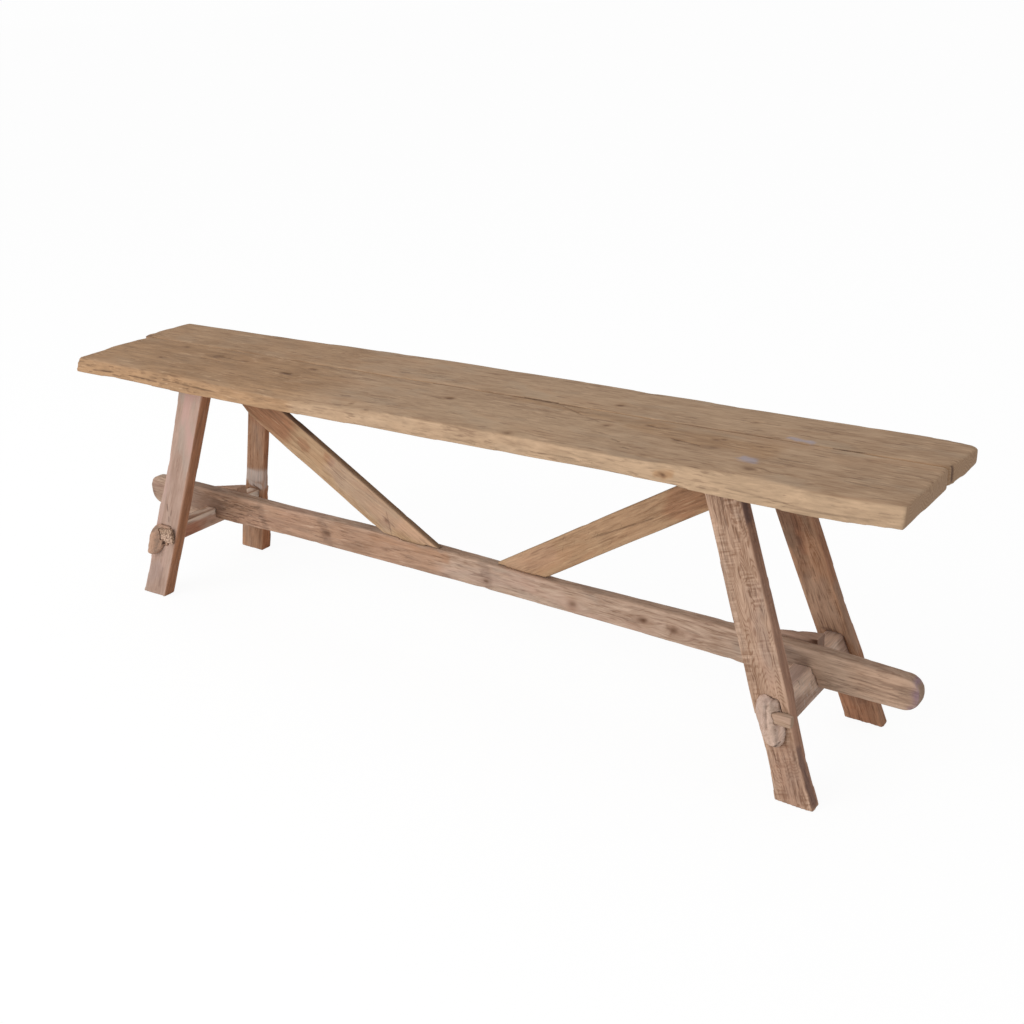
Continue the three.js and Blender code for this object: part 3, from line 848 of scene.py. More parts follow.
@dataclass
class Timber:
    """One piece of timber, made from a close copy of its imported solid."""

    node: str
    name: str
    slot: str
    finish: TimberFinish
    axes: TimberAxes
    cell: float
    wear: Wear = Wear()
    blemishes: tuple[Blemish, ...] = ()
    seed: int = 1

    # Room for finer faces round a knot or crack, in millimetres
    FINE_ROOM = 2.5
    # A knot's stain: its width as a share of the knot's, and its strength
    HALO_WIDTH = 2.4
    HALO_STRENGTH = 0.4
    # A knot turns the grain aside: how far as a share of its width, how long and how strongly
    BEND_REACH = 1.6
    BEND_STRETCH = 2.6
    BEND_SOFTNESS = 0.4
    BEND_LIMIT = 0.8
    # Points as worn as this can lose a chip, arrises smooth by so much, and a face that lies tight
    # against another piece is spared so much
    CHIPPED = 0.6
    ROUNDING_SHARE = 0.6
    TIGHT_SHARE = 0.85
    # Wear is uneven: its least, the rest that varies, and how fast
    LEAST_WEAR = 0.35
    VARYING_WEAR = 0.65
    WEAR_SWING = 0.9
    # The same for how much paler a worn arris is, and how steeply the side of a chip falls
    LEAST_EDGE = 0.4
    VARYING_EDGE = 0.6
    CHIP_FALL = 2.0

    def close_copy(self) -> bpy.types.Mesh:
        """Copies the solid into the piece's own axes as an even net of small faces.

        Returns:
            The new mesh.
        """
        source = bmesh.new()
        source.from_mesh(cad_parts[self.node].data)
        bmesh.ops.remove_doubles(source, verts=source.verts, dist=WELD_DISTANCE)
        bmesh.ops.transform(source, matrix=self.axes.matrix(), verts=source.verts)
        rough = bpy.data.meshes.new(self.name + "_rough")
        source.to_mesh(rough)
        source.free()
        holder = placed(self.name + "_rough", rough)
        net = holder.modifiers.new("net", "REMESH")
        net.mode = "VOXEL"
        net.voxel_size = self.cell
        depsgraph = bpy.context.evaluated_depsgraph_get()
        mesh = bpy.data.meshes.new_from_object(holder.evaluated_get(depsgraph))
        bpy.data.objects.remove(holder)
        bpy.data.meshes.remove(rough)
        return mesh

    def refine(self, mesh: bpy.types.Mesh, noise: SolidNoise) -> None:
        """Splits the faces near knots and cracks, so that these have room for their shape.

        Args:
            mesh: The even net, which is changed.
            noise: The piece's noise.
        """
        fine = [each for each in self.blemishes if each.kind in (CRACK, KNOT) and each.depth > 0.0]
        if not fine:
            return
        surface = Surface(mesh)
        near = np.zeros(len(surface.points), bool)
        for blemish in fine:
            wide = replace(blemish, kind=PATCH, width=blemish.width + self.FINE_ROOM, strength=1.0)
            near |= wide.spread(surface, noise, self.axes.rows()) > 0.5
        net = bmesh.new()
        net.from_mesh(mesh)
        net.verts.ensure_lookup_table()
        edges = [edge for edge in net.edges if all(near[vertex.index] for vertex in edge.verts)]
        bmesh.ops.subdivide_edges(net, edges=edges, cuts=1, use_grid_fill=True)
        net.to_mesh(mesh)
        net.free()

    def weather(self, surface: Surface, noise: SolidNoise) -> np.ndarray:
        """Rounds, bends and chips the surface.

        Args:
            surface: The surface, which is changed.
            noise: The piece's noise.

        Returns:
            How worn each point's arris is, 0 to 1.
        """
        wear = self.wear
        arris = surface.arris(wear.arris_reach)
        loose = np.ones(len(arris))
        if wear.tight is not None:
            arris *= 1.0 - wear.tight.share(surface.normals)
            loose -= self.TIGHT_SHARE * wear.tight.share(surface.normals)
        swing = self.WEAR_SWING * noise.at(surface.points, wear.uneven_waves)
        uneven = self.LEAST_WEAR + self.VARYING_WEAR * eased(0.5 + swing)
        surface.smooth(wear.rounding, self.ROUNDING_SHARE * uneven * loose)
        sway = 0.5 + 0.5 * noise.at(surface.points, wear.sway_waves)
        ridge = 0.5 + 0.5 * noise.at(surface.points, wear.ridge_waves)
        surface.push(wear.sway * sway + wear.ridge * ridge)
        self.chip(surface, arris)
        return arris * (self.LEAST_EDGE + self.VARYING_EDGE * uneven)

    def chip(self, surface: Surface, arris: np.ndarray) -> None:
        """Breaks small chips out of the arrises.

        Args:
            surface: The surface, which is changed.
            arris: How near each point is to an arris.
        """
        wear = self.wear
        edge = np.flatnonzero(arris > self.CHIPPED)
        if wear.chips == 0 or len(edge) == 0:
            return
        draw = np.random.default_rng(self.seed)
        depth = np.zeros(len(surface.points))
        for centre in draw.choice(edge, wear.chips):
            size = wear.chip_size * draw.uniform(*wear.chip_size_spread)
            stretch = np.array((draw.uniform(*wear.chip_length_spread), 1.0, 1.0)) * size
            distance = np.linalg.norm((surface.points - surface.points[centre]) / stretch, axis=1)
            deepest = wear.chip_depth * draw.uniform(*wear.chip_depth_spread)
            depth = np.maximum(depth, deepest * np.exp(-distance**2 * self.CHIP_FALL))
        surface.push(depth)

    def mark(self, surface: Surface, noise: SolidNoise) -> dict[str, np.ndarray]:
        """Marks the surface.

        Args:
            surface: The surface, which is changed.
            noise: The piece's noise.

        Returns:
            The values that the material reads, by name.
        """
        count = len(surface.points)
        values = {name: np.zeros((count, 3)) for name in ("harm", "tint", "tone")}
        turn = self.axes.rows()
        grain = surface.points.copy()
        depth = np.zeros(count)
        for blemish in self.blemishes:
            share = blemish.spread(surface, noise, turn)
            depth += share * blemish.depth * MM
            if blemish.kind is KNOT:
                self.bend_grain(grain, blemish, turn)
                halo = replace(blemish, kind=DENT, width=blemish.width * self.HALO_WIDTH)
                shade = halo.spread(surface, noise, turn) * self.HALO_STRENGTH
                values["tone"][:, 1] = np.maximum(values["tone"][:, 1], shade)
            if blemish.kind in CHANNELS:
                name, part = CHANNELS[blemish.kind]
                values[name][:, part] = np.maximum(values[name][:, part], share)
        surface.push(depth)
        values["tone"][:, 0] = np.abs(surface.normals[:, 0])
        values["grain"] = grain - (grain.max(axis=0) + grain.min(axis=0)) / 2.0
        return values

    def bend_grain(self, grain: np.ndarray, knot: Blemish, turn: np.ndarray) -> None:
        """Leads the grain round a knot.

        Args:
            grain: Place of each point in the grain, which is changed.
            knot: The knot.
            turn: Rows of the piece's own axes.
        """
        first, second = knot.face.value[2:]
        if first != 0:
            return
        offset = grain[:, (first, second)] - knot.line(turn)[0]
        reach = knot.width * MM * self.BEND_REACH
        distance = np.square(offset[:, 0] / self.BEND_STRETCH) + np.square(offset[:, 1])
        share = reach * reach / (distance + reach * reach * self.BEND_SOFTNESS)
        grain[:, second] -= offset[:, 1] * np.minimum(self.BEND_LIMIT, share)

    def build(self) -> bpy.types.Object:
        """Makes, wears and dresses the piece.

        Returns:
            The finished object, riding on the bench and standing for its node.
        """
        noise = SolidNoise(self.seed)
        mesh = self.close_copy()
        self.refine(mesh, noise)
        surface = Surface(mesh)
        worn = self.weather(surface, noise)
        layers = self.mark(surface, noise)
        layers["tint"][:, 0] = worn
        for name, values in layers.items():
            layer = mesh.attributes.new(name, "FLOAT_VECTOR", "POINT")
            layer.data.foreach_set("vector", values.astype(np.float32).ravel())
        mesh.transform(self.axes.matrix().inverted())
        mesh.polygons.foreach_set("use_smooth", [True] * len(mesh.polygons))
        mesh.update()
        mesh.name = self.name
        piece = placed(self.name, mesh)
        mesh.materials.clear()
        mesh.materials.append(self.finish.material())
        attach(piece, BODY)
        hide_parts(self.node)
        LOG.info("%s: %d faces", self.name, len(mesh.polygons))
        return piece


SEAT_FINISH = TimberFinish(
    "seat_timber", (173, 143, 115), weathered=(168, 149, 128), blush=(170, 132, 101),
    fresh=(195, 164, 133), stain=(166, 124, 84), coarse=1.5, pitch=4 * MM, figure=0.08, dashes=0.38,
    pale_dashes=0.4, streaks=0.72, fibres=0.6, blotches=0.6, arris=0.12, end_share=0.98, seed=3.0,
)
PALE_LEG_FINISH = TimberFinish(
    "pale_leg_timber", (167, 140, 125), weathered=(160, 146, 134), blush=(182, 146, 136),
    stain=(172, 116, 80), streaks=0.5, fibres=0.4, figure=0.06, dashes=0.1, pale_dashes=0.15,
    blushing=0.7, weathering=0.5, seed=7.0,
)
SAWN_LEG_FINISH = TimberFinish(
    "sawn_leg_timber", (180, 148, 125), blush=(188, 148, 127), stain=(168, 124, 102),
    dark_and_shade=(84, 66, 66), saw_marks=1.35, figure=0.36, pitch=1.5 * MM, streaks=0.8, dashes=0.5,
    seed=11.0,
)
DARK_LEG_FINISH = TimberFinish(
    "dark_leg_timber", (166, 128, 101), blush=(182, 126, 90), stain=(166, 106, 70),
    patch=(208, 196, 188), streaks=1.1, figure=0.15, dashes=0.35, seed=17.0,
)
SHADED_LEG_FINISH = TimberFinish(
    "shaded_leg_timber", (175, 134, 105), weathered=(158, 132, 108), blush=(156, 108, 82),
    stain=(158, 106, 78), patch=(172, 146, 126), streaks=0.9, figure=0.3, dashes=0.6,
    saw_marks=0.55, weathering=0.6, blushing=0.4, seed=19.0,
)
RAIL_FINISH = TimberFinish(
    "rail_timber", (180, 146, 124), blush=(176, 124, 102), stain=(170, 114, 88),
    fresh=(248, 230, 212), patch=(152, 132, 116), figure=0.1, streaks=1.0, dashes=0.3,
    end_share=0.95, seed=23.0,
)
PALE_RAIL_FINISH = TimberFinish(
    "pale_rail_timber", (194, 168, 152), blush=(192, 160, 150), stain=(160, 124, 104),
    fresh=(228, 198, 176), patch=(222, 212, 204), figure=0.1, streaks=1.0, dashes=0.2,
    end_share=0.98, seed=25.0,
)
STRETCHER_FINISH = TimberFinish(
    "stretcher_timber", (174, 147, 127), blush=(183, 146, 130), stain=(170, 126, 95),
    patch=(150, 122, 142), fresh=(208, 178, 154), figure=0.12, streaks=0.9, dashes=0.4,
    fibres=1.1, seed=27.0,
)
BRACE_FINISH = TimberFinish(
    "brace_timber", (170, 139, 108), blush=(170, 126, 92), stain=(158, 106, 76),
    weathered=(168, 142, 110), fresh=(196, 158, 130), dark_and_shade=(92, 70, 58), streaks=0.8, figure=0.1,
    dashes=0.3, seed=31.0,
)
PEG_FINISH = TimberFinish(
    "peg_timber", (180, 152, 130), streaks=1.0, figure=0.1, dashes=0.2, end_share=0.95, seed=37.0,
)
WORMY_PEG_FINISH = replace(PEG_FINISH, name="wormy_peg_timber", worm=0.75, bump=0.9, seed=41.0)
WEDGE_FINISH = TimberFinish(
    "wedge_timber", (168, 138, 120), blush=(158, 122, 104), streaks=0.6, figure=0.05, dashes=0.1,
    seed=43.0,
)


@dataclass
class Seat:
    """The two planks of the seat.

    A knot gives its place along X and Y, its radius and its strength, and a crack the two places
    of each end, its width and its strength.
    """

    cell: float = 3 * MM
    joint_y: float = 25.0
    knot_depth: float = 1.0
    crack_depth: float = 1.8
    knots: tuple[tuple[float, ...], ...] = (
        (-645, 2, 4.5, 0.6), (-632, -73, 4, 0.7), (-536, -19, 6, 0.45), (-460, -20, 6, 0.5),
        (-332, -45, 6, 0.9), (-306, -4, 5, 0.9), (-110, -122, 3, 0.5), (-69, -134, 3, 0.5),
        (21, -31, 4, 0.7), (203, -127, 5, 0.5), (315, -32, 5, 0.7), (282, 60, 4.5, 0.8),
        (371, -6, 4, 0.5), (438, -44, 4, 0.5), (496, -49, 5, 0.5), (486, -16, 3, 0.6),
        (495, -11, 3, 0.6), (576, -99, 6, 0.6), (500, 79, 3.5, 0.4), (578, -22, 3, 0.4),
    )
    cracks: tuple[tuple[float, ...], ...] = (
        (40, 27.5, 250, 26.5, 0.8, 0.5), (124, 28.5, 190, 28, 1.2, 0.9),
        (640, 26.8, 690, 28.2, 1.2, 0.85), (-60, 26.5, 30, 27.5, 1, 0.4),
        (400, 26.4, 620, 27, 1, 0.35), (196, 22, 262, -10, 1, 0.45),
        (262, -10, 300, -24, 0.8, 0.35), (352, -80, 372, -88, 1.2, 0.5),
        (384, -103, 398, -106, 1.2, 0.5), (424, -40, 478, -49, 1.3, 0.6),
        (366, -2, 394, -10, 1.2, 0.5), (492, 80, 545, 82, 1.2, 0.6),
        (-536, -19, -452, -24, 1.2, 0.5), (-340, -44, -318, -46, 1.4, 0.6),
        (-390, -28, -352, -30, 1.2, 0.5), (-560, -40, -500, -44, 1, 0.4),
        (-330, -66, -296, -70, 1.2, 0.4), (300, -60, 340, -68, 1, 0.4),
        (590, -44, 650, -47, 1.2, 0.4), (232, -90, 262, -93, 1, 0.4),
        (700, -84, 760, -88, 1.2, 0.4), (-120, 60, -60, 58, 1, 0.35), (-20, 96, 30, 95, 1, 0.35),
    )
    edge_marks: tuple[Blemish, ...] = marks_on(
        Face.MINUS, Places.XZ,
        # The FRESH marks on the front edge make it paler than the top: partly paler worn timber,
        # partly painted highlight on the lit front side
        (FRESH, -800, 455, 800, 455, 40, 0.6), (ROUGH, -800, 450, 800, 450, 40, 0.3),
        (KNOT, 466, 453, 466, 453, 3.2, 0.85, 0.8), (STAIN, 454, 451, 478, 455, 5, 0.6, 0.3),
        (CRACK, -640, 452, -560, 450, 1.4, 0.7, 0.8), (CRACK, -520, 456, -400, 453, 1.2, 0.6, 0.8),
        (CRACK, -745, 450, -690, 452, 1.2, 0.8, 0.8), (CRACK, 560, 452, 720, 447, 1, 0.35, 0.6),
        (CRACK, 640, 446, 790, 449, 1, 0.35, 0.6), (CRACK, 90, 448, 150, 446, 1, 0.4, 0.6),
        (CRACK, 250, 450, 330, 452, 1, 0.4, 0.6), (STAIN, -820, 452, -260, 452, 30, 0.6),
        # More painted highlight on the right half of the front edge, partly paler timber
        (FRESH, 330, 455, 800, 455, 40, 0.95),
    ) + marks_on(
        Face.OVER, Places.XY,
        (DENT, -799, -118, -790, -104, 5, 1, 2.2), (DENT, -799, -58, -796, -40, 5, 1, 1.8),
        (DENT, -799, 4, -794, 10, 5, 1, 1.6),
    )
    top_marks: tuple[Blemish, ...] = marks_on(
        Face.OVER, Places.XY,
        (STAIN, -800, -50, -330, -50, 110, 0.5), (STAIN, -660, 8, -560, -10, 26, 0.45),
        (FRESH, 60, -70, 330, -70, 60, 0.4), (STAIN, -480, -16, -300, -24, 30, 0.4),
        (STAIN, -360, 24, -160, 22, 9, 0.4), (STAIN, 120, 24, 330, 0, 14, 0.35),
        (STAIN, 360, -6, 560, -30, 26, 0.4), (PATCH, 554, -68, 568, -71, 8.5, 0.75),
        (FRESH, -800, -60, -620, -110, 34, 0.4), (FRESH, -600, -118, -200, -124, 12, 0.35),
    )
    rear_marks: tuple[Blemish, ...] = marks_on(
        Face.OVER, Places.XY,
        (PATCH, 572, 38, 606, 33, 5.5, 0.7), (STAIN, -800, 90, -330, 90, 90, 0.3),
        # The DARK mark at the rear plank's left front corner is painted shade in the notch at the
        # joint
        (FRESH, 100, 80, 500, 80, 50, 0.25), (DARK, -798, 27, -786, 30, 3, 0.8),
        (STAIN, -620, 60, -430, 66, 22, 0.35),
    ) + marks_on(
        Face.MINUS, Places.XZ,
        # Painted shade that dims the lit front arris of the rear plank along the joint
        (STAIN, -800, 466, 800, 466, 16, 0.4),
    ) + marks_on(
        Face.HEAD, Places.YZ,
        (DARK, 36, 470, 36, 446, 1.6, 0.9, 1), (STAIN, 28, 455, 40, 455, 9, 0.8),
    )

    def cut_marks(self, front: bool) -> tuple[Blemish, ...]:
        """Lists the knots and cracks in the top of one plank.

        Args:
            front: Whether it is the front plank.

        Returns:
            The marks, knots first.
        """
        knots = [
            (KNOT, x, y, x, y, radius, strength, self.knot_depth)
            for x, y, radius, strength in self.knots if (y < self.joint_y) == front
        ]
        cracks = [
            (CRACK, *row, self.crack_depth)
            for row in self.cracks if (row[1] < self.joint_y) == front
        ]
        return marks_on(Face.OVER, Places.XY, *knots, *cracks)

    def fine_checks(self) -> tuple[Blemish, ...]:
        """Scatters fine checks over the front plank's edge and top.

        Returns:
            The marks.
        """
        rows = (
            ((-800, -140, 446), (-430, -140, 462), 46, 26, 0.9, 0.6, 0, Face.MINUS, 21, 0.5),
            ((-400, -140, 444), (770, -140, 464), 60, 40, 0.8, 0.3, 0, Face.MINUS, 22, 0.5),
            ((-780, -130, 470), (740, 20, 470), 60, 40, 0.9, 0.3, 0, Face.OVER, 23, 0.4),
        )
        return sum((scattered(CRACK, *row) for row in rows), ())

    def build(self) -> None:
        """Builds both planks."""
        front = self.top_marks + self.edge_marks + self.cut_marks(True) + self.fine_checks()
        rear = self.rear_marks + self.cut_marks(False)
        plans = (("front", Face.PLUS, front, 41), ("rear", Face.MINUS, rear, 43))
        for name, tight, marks, seed in plans:
            wear = Wear(chips=10, chip_size=12 * MM, rounding=5, ridge=0.04 * MM, tight=tight)
            Timber(
                f"seat_{name}_plank", f"{name}_plank", "seat_wood", SEAT_FINISH, ALONG_X, self.cell,
                wear, marks, seed,
            ).build()


@dataclass
class Legs:
    """The four legs."""

    cell: float = 2.2 * MM
    splay_x: float = 146 * MM
    splay_y: float = 48 * MM
    height: float = 440 * MM
    first_seed: int = 51
    front_left: tuple[Blemish, ...] = marks_on(
        Face.MINUS, Places.XYZ,
        (STAIN, -600, -110, 220, -600, -110, 220, 600, 0.9),
    ) + marks_on(
        Face.PLUS, Places.XYZ,
        (STAIN, -600, -110, 220, -600, -110, 220, 600, 0.4),
    ) + marks_on(
        Face.OVER, Places.XYZ,
        (PATCH, -690, -130, 30, -660, -130, 60, 14, 0.12),
        (CRACK, -619, -120, 196, -618, -120, 180, 1, 0.6, 0.5),
        (CRACK, -608, -120, 185, -611, -120, 172, 1, 0.5, 0.5),
        (CRACK, -616, -120, 170, -618, -120, 158, 1.2, 0.6, 0.5),
        (ROUGH, -628, -120, 160, -632, -120, 150, 12, 0.8),
        (DARK, -646, -130, 60, -660, -130, 20, 2.5, 0.3, 0.5),
    )
    front_right: tuple[Blemish, ...] = marks_on(
        Face.MINUS, Places.XYZ,
        (STAIN, 600, -110, 220, 600, -110, 220, 600, 0.75),
        (DARK, 528, -90, 440, 546, -94, 388, 12, 0.7), (DARK, 662, -125, 80, 700, -130, 10, 6, 0.5),
    ) + marks_on(
        Face.OVER, Places.XYZ,
        (ROUGH, 520, -90, 430, 548, -95, 360, 22, 0.9),
        (ROUGH, 660, -130, 60, 676, -135, 4, 22, 0.7),
        (STAIN, 655, -130, 70, 672, -135, 10, 20, 0.35),
        (FRESH, 530, -105, 345, 575, -120, 215, 9, 0.4),
        (DARK, 590, -112, 300, 625, -124, 190, 13, 0.14),
    )
    rear_left: tuple[Blemish, ...] = marks_on(
        Face.PLUS, Places.XYZ,
        (STAIN, -600, 110, 220, -600, 110, 220, 600, 0.85),
        (PATCH, -580, 92, 190, -588, 96, 158, 14, 0.6),
    ) + marks_on(
        Face.UNDER, Places.XYZ,
        (PATCH, -636, 92, 180, -586, 92, 182, 15, 0.75, 0.2),
        (PATCH, -630, 97, 163, -604, 97, 158, 6, 0.8, 0.3),
        (DARK, -622, 97, 158, -606, 97, 150, 2.2, 0.8, 0.6),
        # The next two marks are painted shadow of the brace on the top of the leg
        (STAIN, -560, 80, 330, -560, 80, 420, 30, 0.35),
        (DARK, -536, 72, 424, -532, 71, 440, 16, 0.4),
    )
    rear_right: tuple[Blemish, ...] = marks_on(
        Face.PLUS, Places.XYZ,
        (STAIN, 600, 110, 220, 600, 110, 220, 600, 0.6),
        (PATCH, 640, 95, 220, 664, 100, 140, 20, 0.45),
    ) + marks_on(
        Face.UNDER, Places.XYZ,
        (STAIN, 664, 115, 50, 674, 117, 0, 30, 0.6),
        (DARK, 610, 100, 154, 630, 100, 153, 2.2, 0.5, 0.6),
        (STAIN, 545, 75, 400, 580, 88, 280, 6, 0.6), (ROUGH, 590, 95, 200, 606, 100, 156, 18, 0.8),
        # The second PATCH mark is painted light over the contact shadow beside the rail
        (PATCH, 594, 90, 216, 622, 96, 152, 24, 0.5), (PATCH, 650, 97, 160, 668, 99, 130, 10, 0.5),
        (DARK, 545, 76, 345, 562, 82, 292, 13, 0.55), (DARK, 556, 80, 310, 582, 86, 245, 12, 0.35),
        # The last DARK mark is the painted shadow under the stretcher on the leg's foot
        (DARK, 545, 74, 338, 600, 78, 322, 20, 0.3), (DARK, 640, 104, 66, 666, 107, 44, 16, 0.35),
    )

    def axes(self, side: int, face: int) -> TimberAxes:
        """Finds a leg's axes, along its lean and out through its broad face."""
        along = Vector((-side * self.splay_x, -face * self.splay_y, self.height))
        return TimberAxes(along, Vector((0.0, float(face), 0.0)))

    def build(self) -> None:
        """Builds the legs."""
        plans = (
            ("leg_front_left", -1, -1, "pale_leg_wood", PALE_LEG_FINISH, self.front_left),
            ("leg_front_right", 1, -1, "pale_leg_wood", SAWN_LEG_FINISH, self.front_right),
            ("leg_rear_left", -1, 1, "dark_leg_wood", DARK_LEG_FINISH, self.rear_left),
            ("leg_rear_right", 1, 1, "dark_leg_wood", SHADED_LEG_FINISH, self.rear_right),
        )
        wear = Wear(sway=0.25 * MM, ridge=0.12 * MM, chip_depth=0.9 * MM)
        for seed, (node, side, face, slot, finish, marks) in enumerate(plans, self.first_seed):
            axes = self.axes(side, face)
            Timber(node, node + "_timber", slot, finish, axes, self.cell, wear, marks, seed).build()


@dataclass
class Rails:
    """The cross rails with their heads, and the pegs that lock them."""

    cell: float = 1.6 * MM
    peg_cell: float = 1.0 * MM
    first_seed: int = 61
    first_peg_seed: int = 65
    left: tuple[Blemish, ...] = marks_on(
        Face.OVER, Places.YZ,
        (FRESH, -95, 144, -14, 146, 7, 0.7), (STAIN, -100, 124, -58, 120, 18, 0.85),
        (FRESH, 78, 143, 114, 143, 13, 0.9),
    ) + marks_on(
        Face.PLUS, Places.XY,
        (FRESH, -640, -90, -620, -16, 7, 0.5), (FRESH, -636, 84, -632, 112, 13, 0.9, 0.4),
    ) + marks_on(
        Face.FOOT, Places.XZ,
        (DARK, -631, 130, -631, 106, 3.5, 0.6, 0.8), (DENT, -626, 129, -628, 118, 2.4, 1, 1.8),
        (CRACK, -626, 129, -628, 118, 2, 0.9, 0.8), (DENT, -631, 117, -632, 107, 2.4, 1, 1.8),
        (CRACK, -631, 117, -632, 107, 2, 0.9, 0.8), (DARK, -640, 150, -652, 140, 4, 0.35),
        (STAIN, -640, 126, -648, 96, 12, 0.2), (PATCH, -632, 150, -650, 104, 18, 0.7),
    )
    right: tuple[Blemish, ...] = marks_on(
        Face.OVER, Places.YZ,
        (FRESH, -100, 146, -15, 146, 9, 0.85), (STAIN, -96, 122, -62, 108, 18, 0.45),
        # The first FRESH mark here is painted light over the shadow of the stretcher on the rail's
        # side
        (FRESH, -50, 138, -12, 128, 13, 0.85), (FRESH, 30, 140, 74, 140, 12, 0.8, 0.3),
        (STAIN, 92, 130, 110, 130, 18, 0.6),
    ) + marks_on(
        Face.PLUS, Places.XY,
        (FRESH, 632, 52, 637, 78, 15, 0.95, 0.5),
    ) + marks_on(
        Face.FOOT, Places.XZ,
        (DENT, 628, 153, 633, 114, 2.6, 1, 2.2), (DENT, 633, 114, 641, 96, 2.6, 1, 2.2),
        (DARK, 629, 146, 632, 116, 1.2, 0.45), (DENT, 641, 152, 646, 116, 2.4, 1, 2),
        (DENT, 646, 116, 650, 96, 2.4, 1, 2), (DARK, 642, 150, 646, 128, 1.2, 0.4),
        (DENT, 620, 140, 624, 104, 2.2, 1, 1.2), (FRESH, 634, 140, 640, 96, 6, 0.5),
        (CRACK, 641, 84, 653, 98, 1.6, 0.8, 0.8),
    )

    def build(self) -> None:
        """Builds the rails and pegs of both ends."""
        along_y = TimberAxes(Vector((0.0, 1.0, 0.0)), Vector((1.0, 0.0, 0.0)))
        cuts = scattered(CRACK, (640, -60, 118), (648, -16, 146), 9, 9, 0.9, 0.5, 0.9, seed=5)
        flecks = scattered(
            PATCH, (647, -60, 104), (647, -16, 150), 24, 7, 1.2, 0.5, 0.6, seed=6, depth=0.3,
        )
        wear = Wear(sway=0.25 * MM)
        peg_wear = Wear(sway=0.2 * MM, chips=5, chip_size=3 * MM)
        plans = (
            ("left", RAIL_FINISH, WORMY_PEG_FINISH, self.left),
            ("right", PALE_RAIL_FINISH, PEG_FINISH, self.right + cuts + flecks),
        )
        for number, (end, finish, peg_finish, marks) in enumerate(plans):
            Timber(
                f"cross_rail_{end}", f"rail_{end}_timber", "rail_wood", finish, along_y, self.cell,
                wear, marks, self.first_seed + number,
            ).build()
            for row in ("front", "rear"):
                Timber(
                    f"rail_peg_{row}_{end}", f"peg_{row}_{end}_timber", "peg_wood", peg_finish,
                    ALONG_X, self.peg_cell, peg_wear, seed=self.first_peg_seed + number,
                ).build()


@dataclass
class Stretcher:
    """The long stretcher and the wedges behind it."""

    cell: float = 2.5 * MM
    wedge_cell: float = 1.2 * MM
    front_y: float = -12.0
    marks: tuple[Blemish, ...] = marks_on(
        Face.OVER, Places.XZ,
        (KNOT, 230, 147, 230, 147, 6, 0.7, 1), (KNOT, 362, 152, 362, 152, 4.5, 0.9, 1.2),
        (KNOT, 415, 148, 415, 148, 5.5, 0.7, 1), (DARK, 52, 178, 62, 140, 10, 0.3),
        (DARK, -320, 174, -310, 146, 10, 0.3), (KNOT, 57, 147, 57, 147, 3, 0.7, 0.6),
        (KNOT, -311, 158, -311, 158, 5, 0.7, 0.8), (STAIN, -620, 152, -90, 152, 44, 0.55),
        (STAIN, -196, 178, -30, 172, 10, 0.7), (STAIN, -150, 166, -60, 166, 10, 0.45),
        # The first DARK mark here is the painted shadow of the front left leg on the stretcher's
        # front
        (DARK, -680, 158, -618, 158, 26, 0.55), (DARK, -800, 160, -740, 150, 26, 0.25),
        # The last DARK mark here is the painted shadow of the front right leg on the stretcher's
        # front
        (DARK, -803, 170, -800, 140, 8, 0.35), (DARK, 598, 160, 622, 154, 15, 0.45),
        (ROUGH, -600, 152, -480, 150, 24, 1), (DARK, -484, 176, -476, 132, 8, 0.25),
        (FRESH, 660, 150, 770, 148, 34, 0.75), (STAIN, 720, 150, 790, 150, 30, 0.3),
        (ROUGH, 640, 150, 800, 146, 24, 0.8), (PATCH, 800, 150, 800, 125, 14, 0.8),
        (DARK, 778, 146, 806, 138, 14, 0.25), (ROUGH, -470, 152, -240, 152, 26, 0.35),
    ) + marks_on(
        Face.PLUS, Places.XY,
        (DARK, -690, 0, -622, 0, 22, 0.4),
    ) + marks_on(
        Face.HEAD, Places.YZ,
        (PATCH, 0, 150, 0, 130, 26, 0.8),
    )
    peg_hole: tuple[Blemish, ...] = marks_on(
        Face.OVER, Places.XZ, (KNOT, 634, 176, 634, 176, 5, 1, 2.4),
    )

    def fine_marks(self) -> tuple[Blemish, ...]:
        """Scatters pale flecks and fine checks over the front.

        Returns:
            The marks.
        """
        rows = (
            (FRESH, (-600, 126), (-484, 168), 44, 12, 0.9, 0.8, -0.04, 12, 0.3),
            (CRACK, (-600, 126), (-476, 176), 56, 18, 0.9, 0.75, -0.02, 9, 1.0),
            (CRACK, (640, 122), (780, 150), 34, 34, 0.8, 0.45, -0.06, 10, 0.8),
            (CRACK, (-470, 128), (600, 176), 70, 34, 0.8, 0.35, -0.02, 11, 0.5),
        )
        marks = ()
        for kind, (low_x, low_z), (high_x, high_z), *numbers, seed, depth in rows:
            low, high = (low_x, self.front_y, low_z), (high_x, self.front_y, high_z)
            marks += scattered(kind, low, high, *numbers, seed=seed, depth=depth)
        return marks

    def build(self) -> None:
        """Builds the stretcher and its wedges."""
        edgewise = TimberAxes(Vector((1.0, 0.0, 0.0)), Vector((0.0, -1.0, 0.0)))
        Timber(
            "long_stretcher", "stretcher_timber", "stretcher_wood", STRETCHER_FINISH, edgewise,
            self.cell, Wear(chips=14), self.marks + self.fine_marks(), 71,
        ).build()
        wedge_wear = Wear(chips=4, chip_size=3 * MM)
        plans = (("left", RAIL_FINISH, (), 73), ("right", WEDGE_FINISH, self.peg_hole, 74))
        for end, finish, marks, seed in plans:
            Timber(
                f"stretcher_wedge_{end}", f"wedge_{end}_timber", "rail_wood", finish, edgewise,
                self.wedge_cell, wedge_wear, marks, seed,
            ).build()


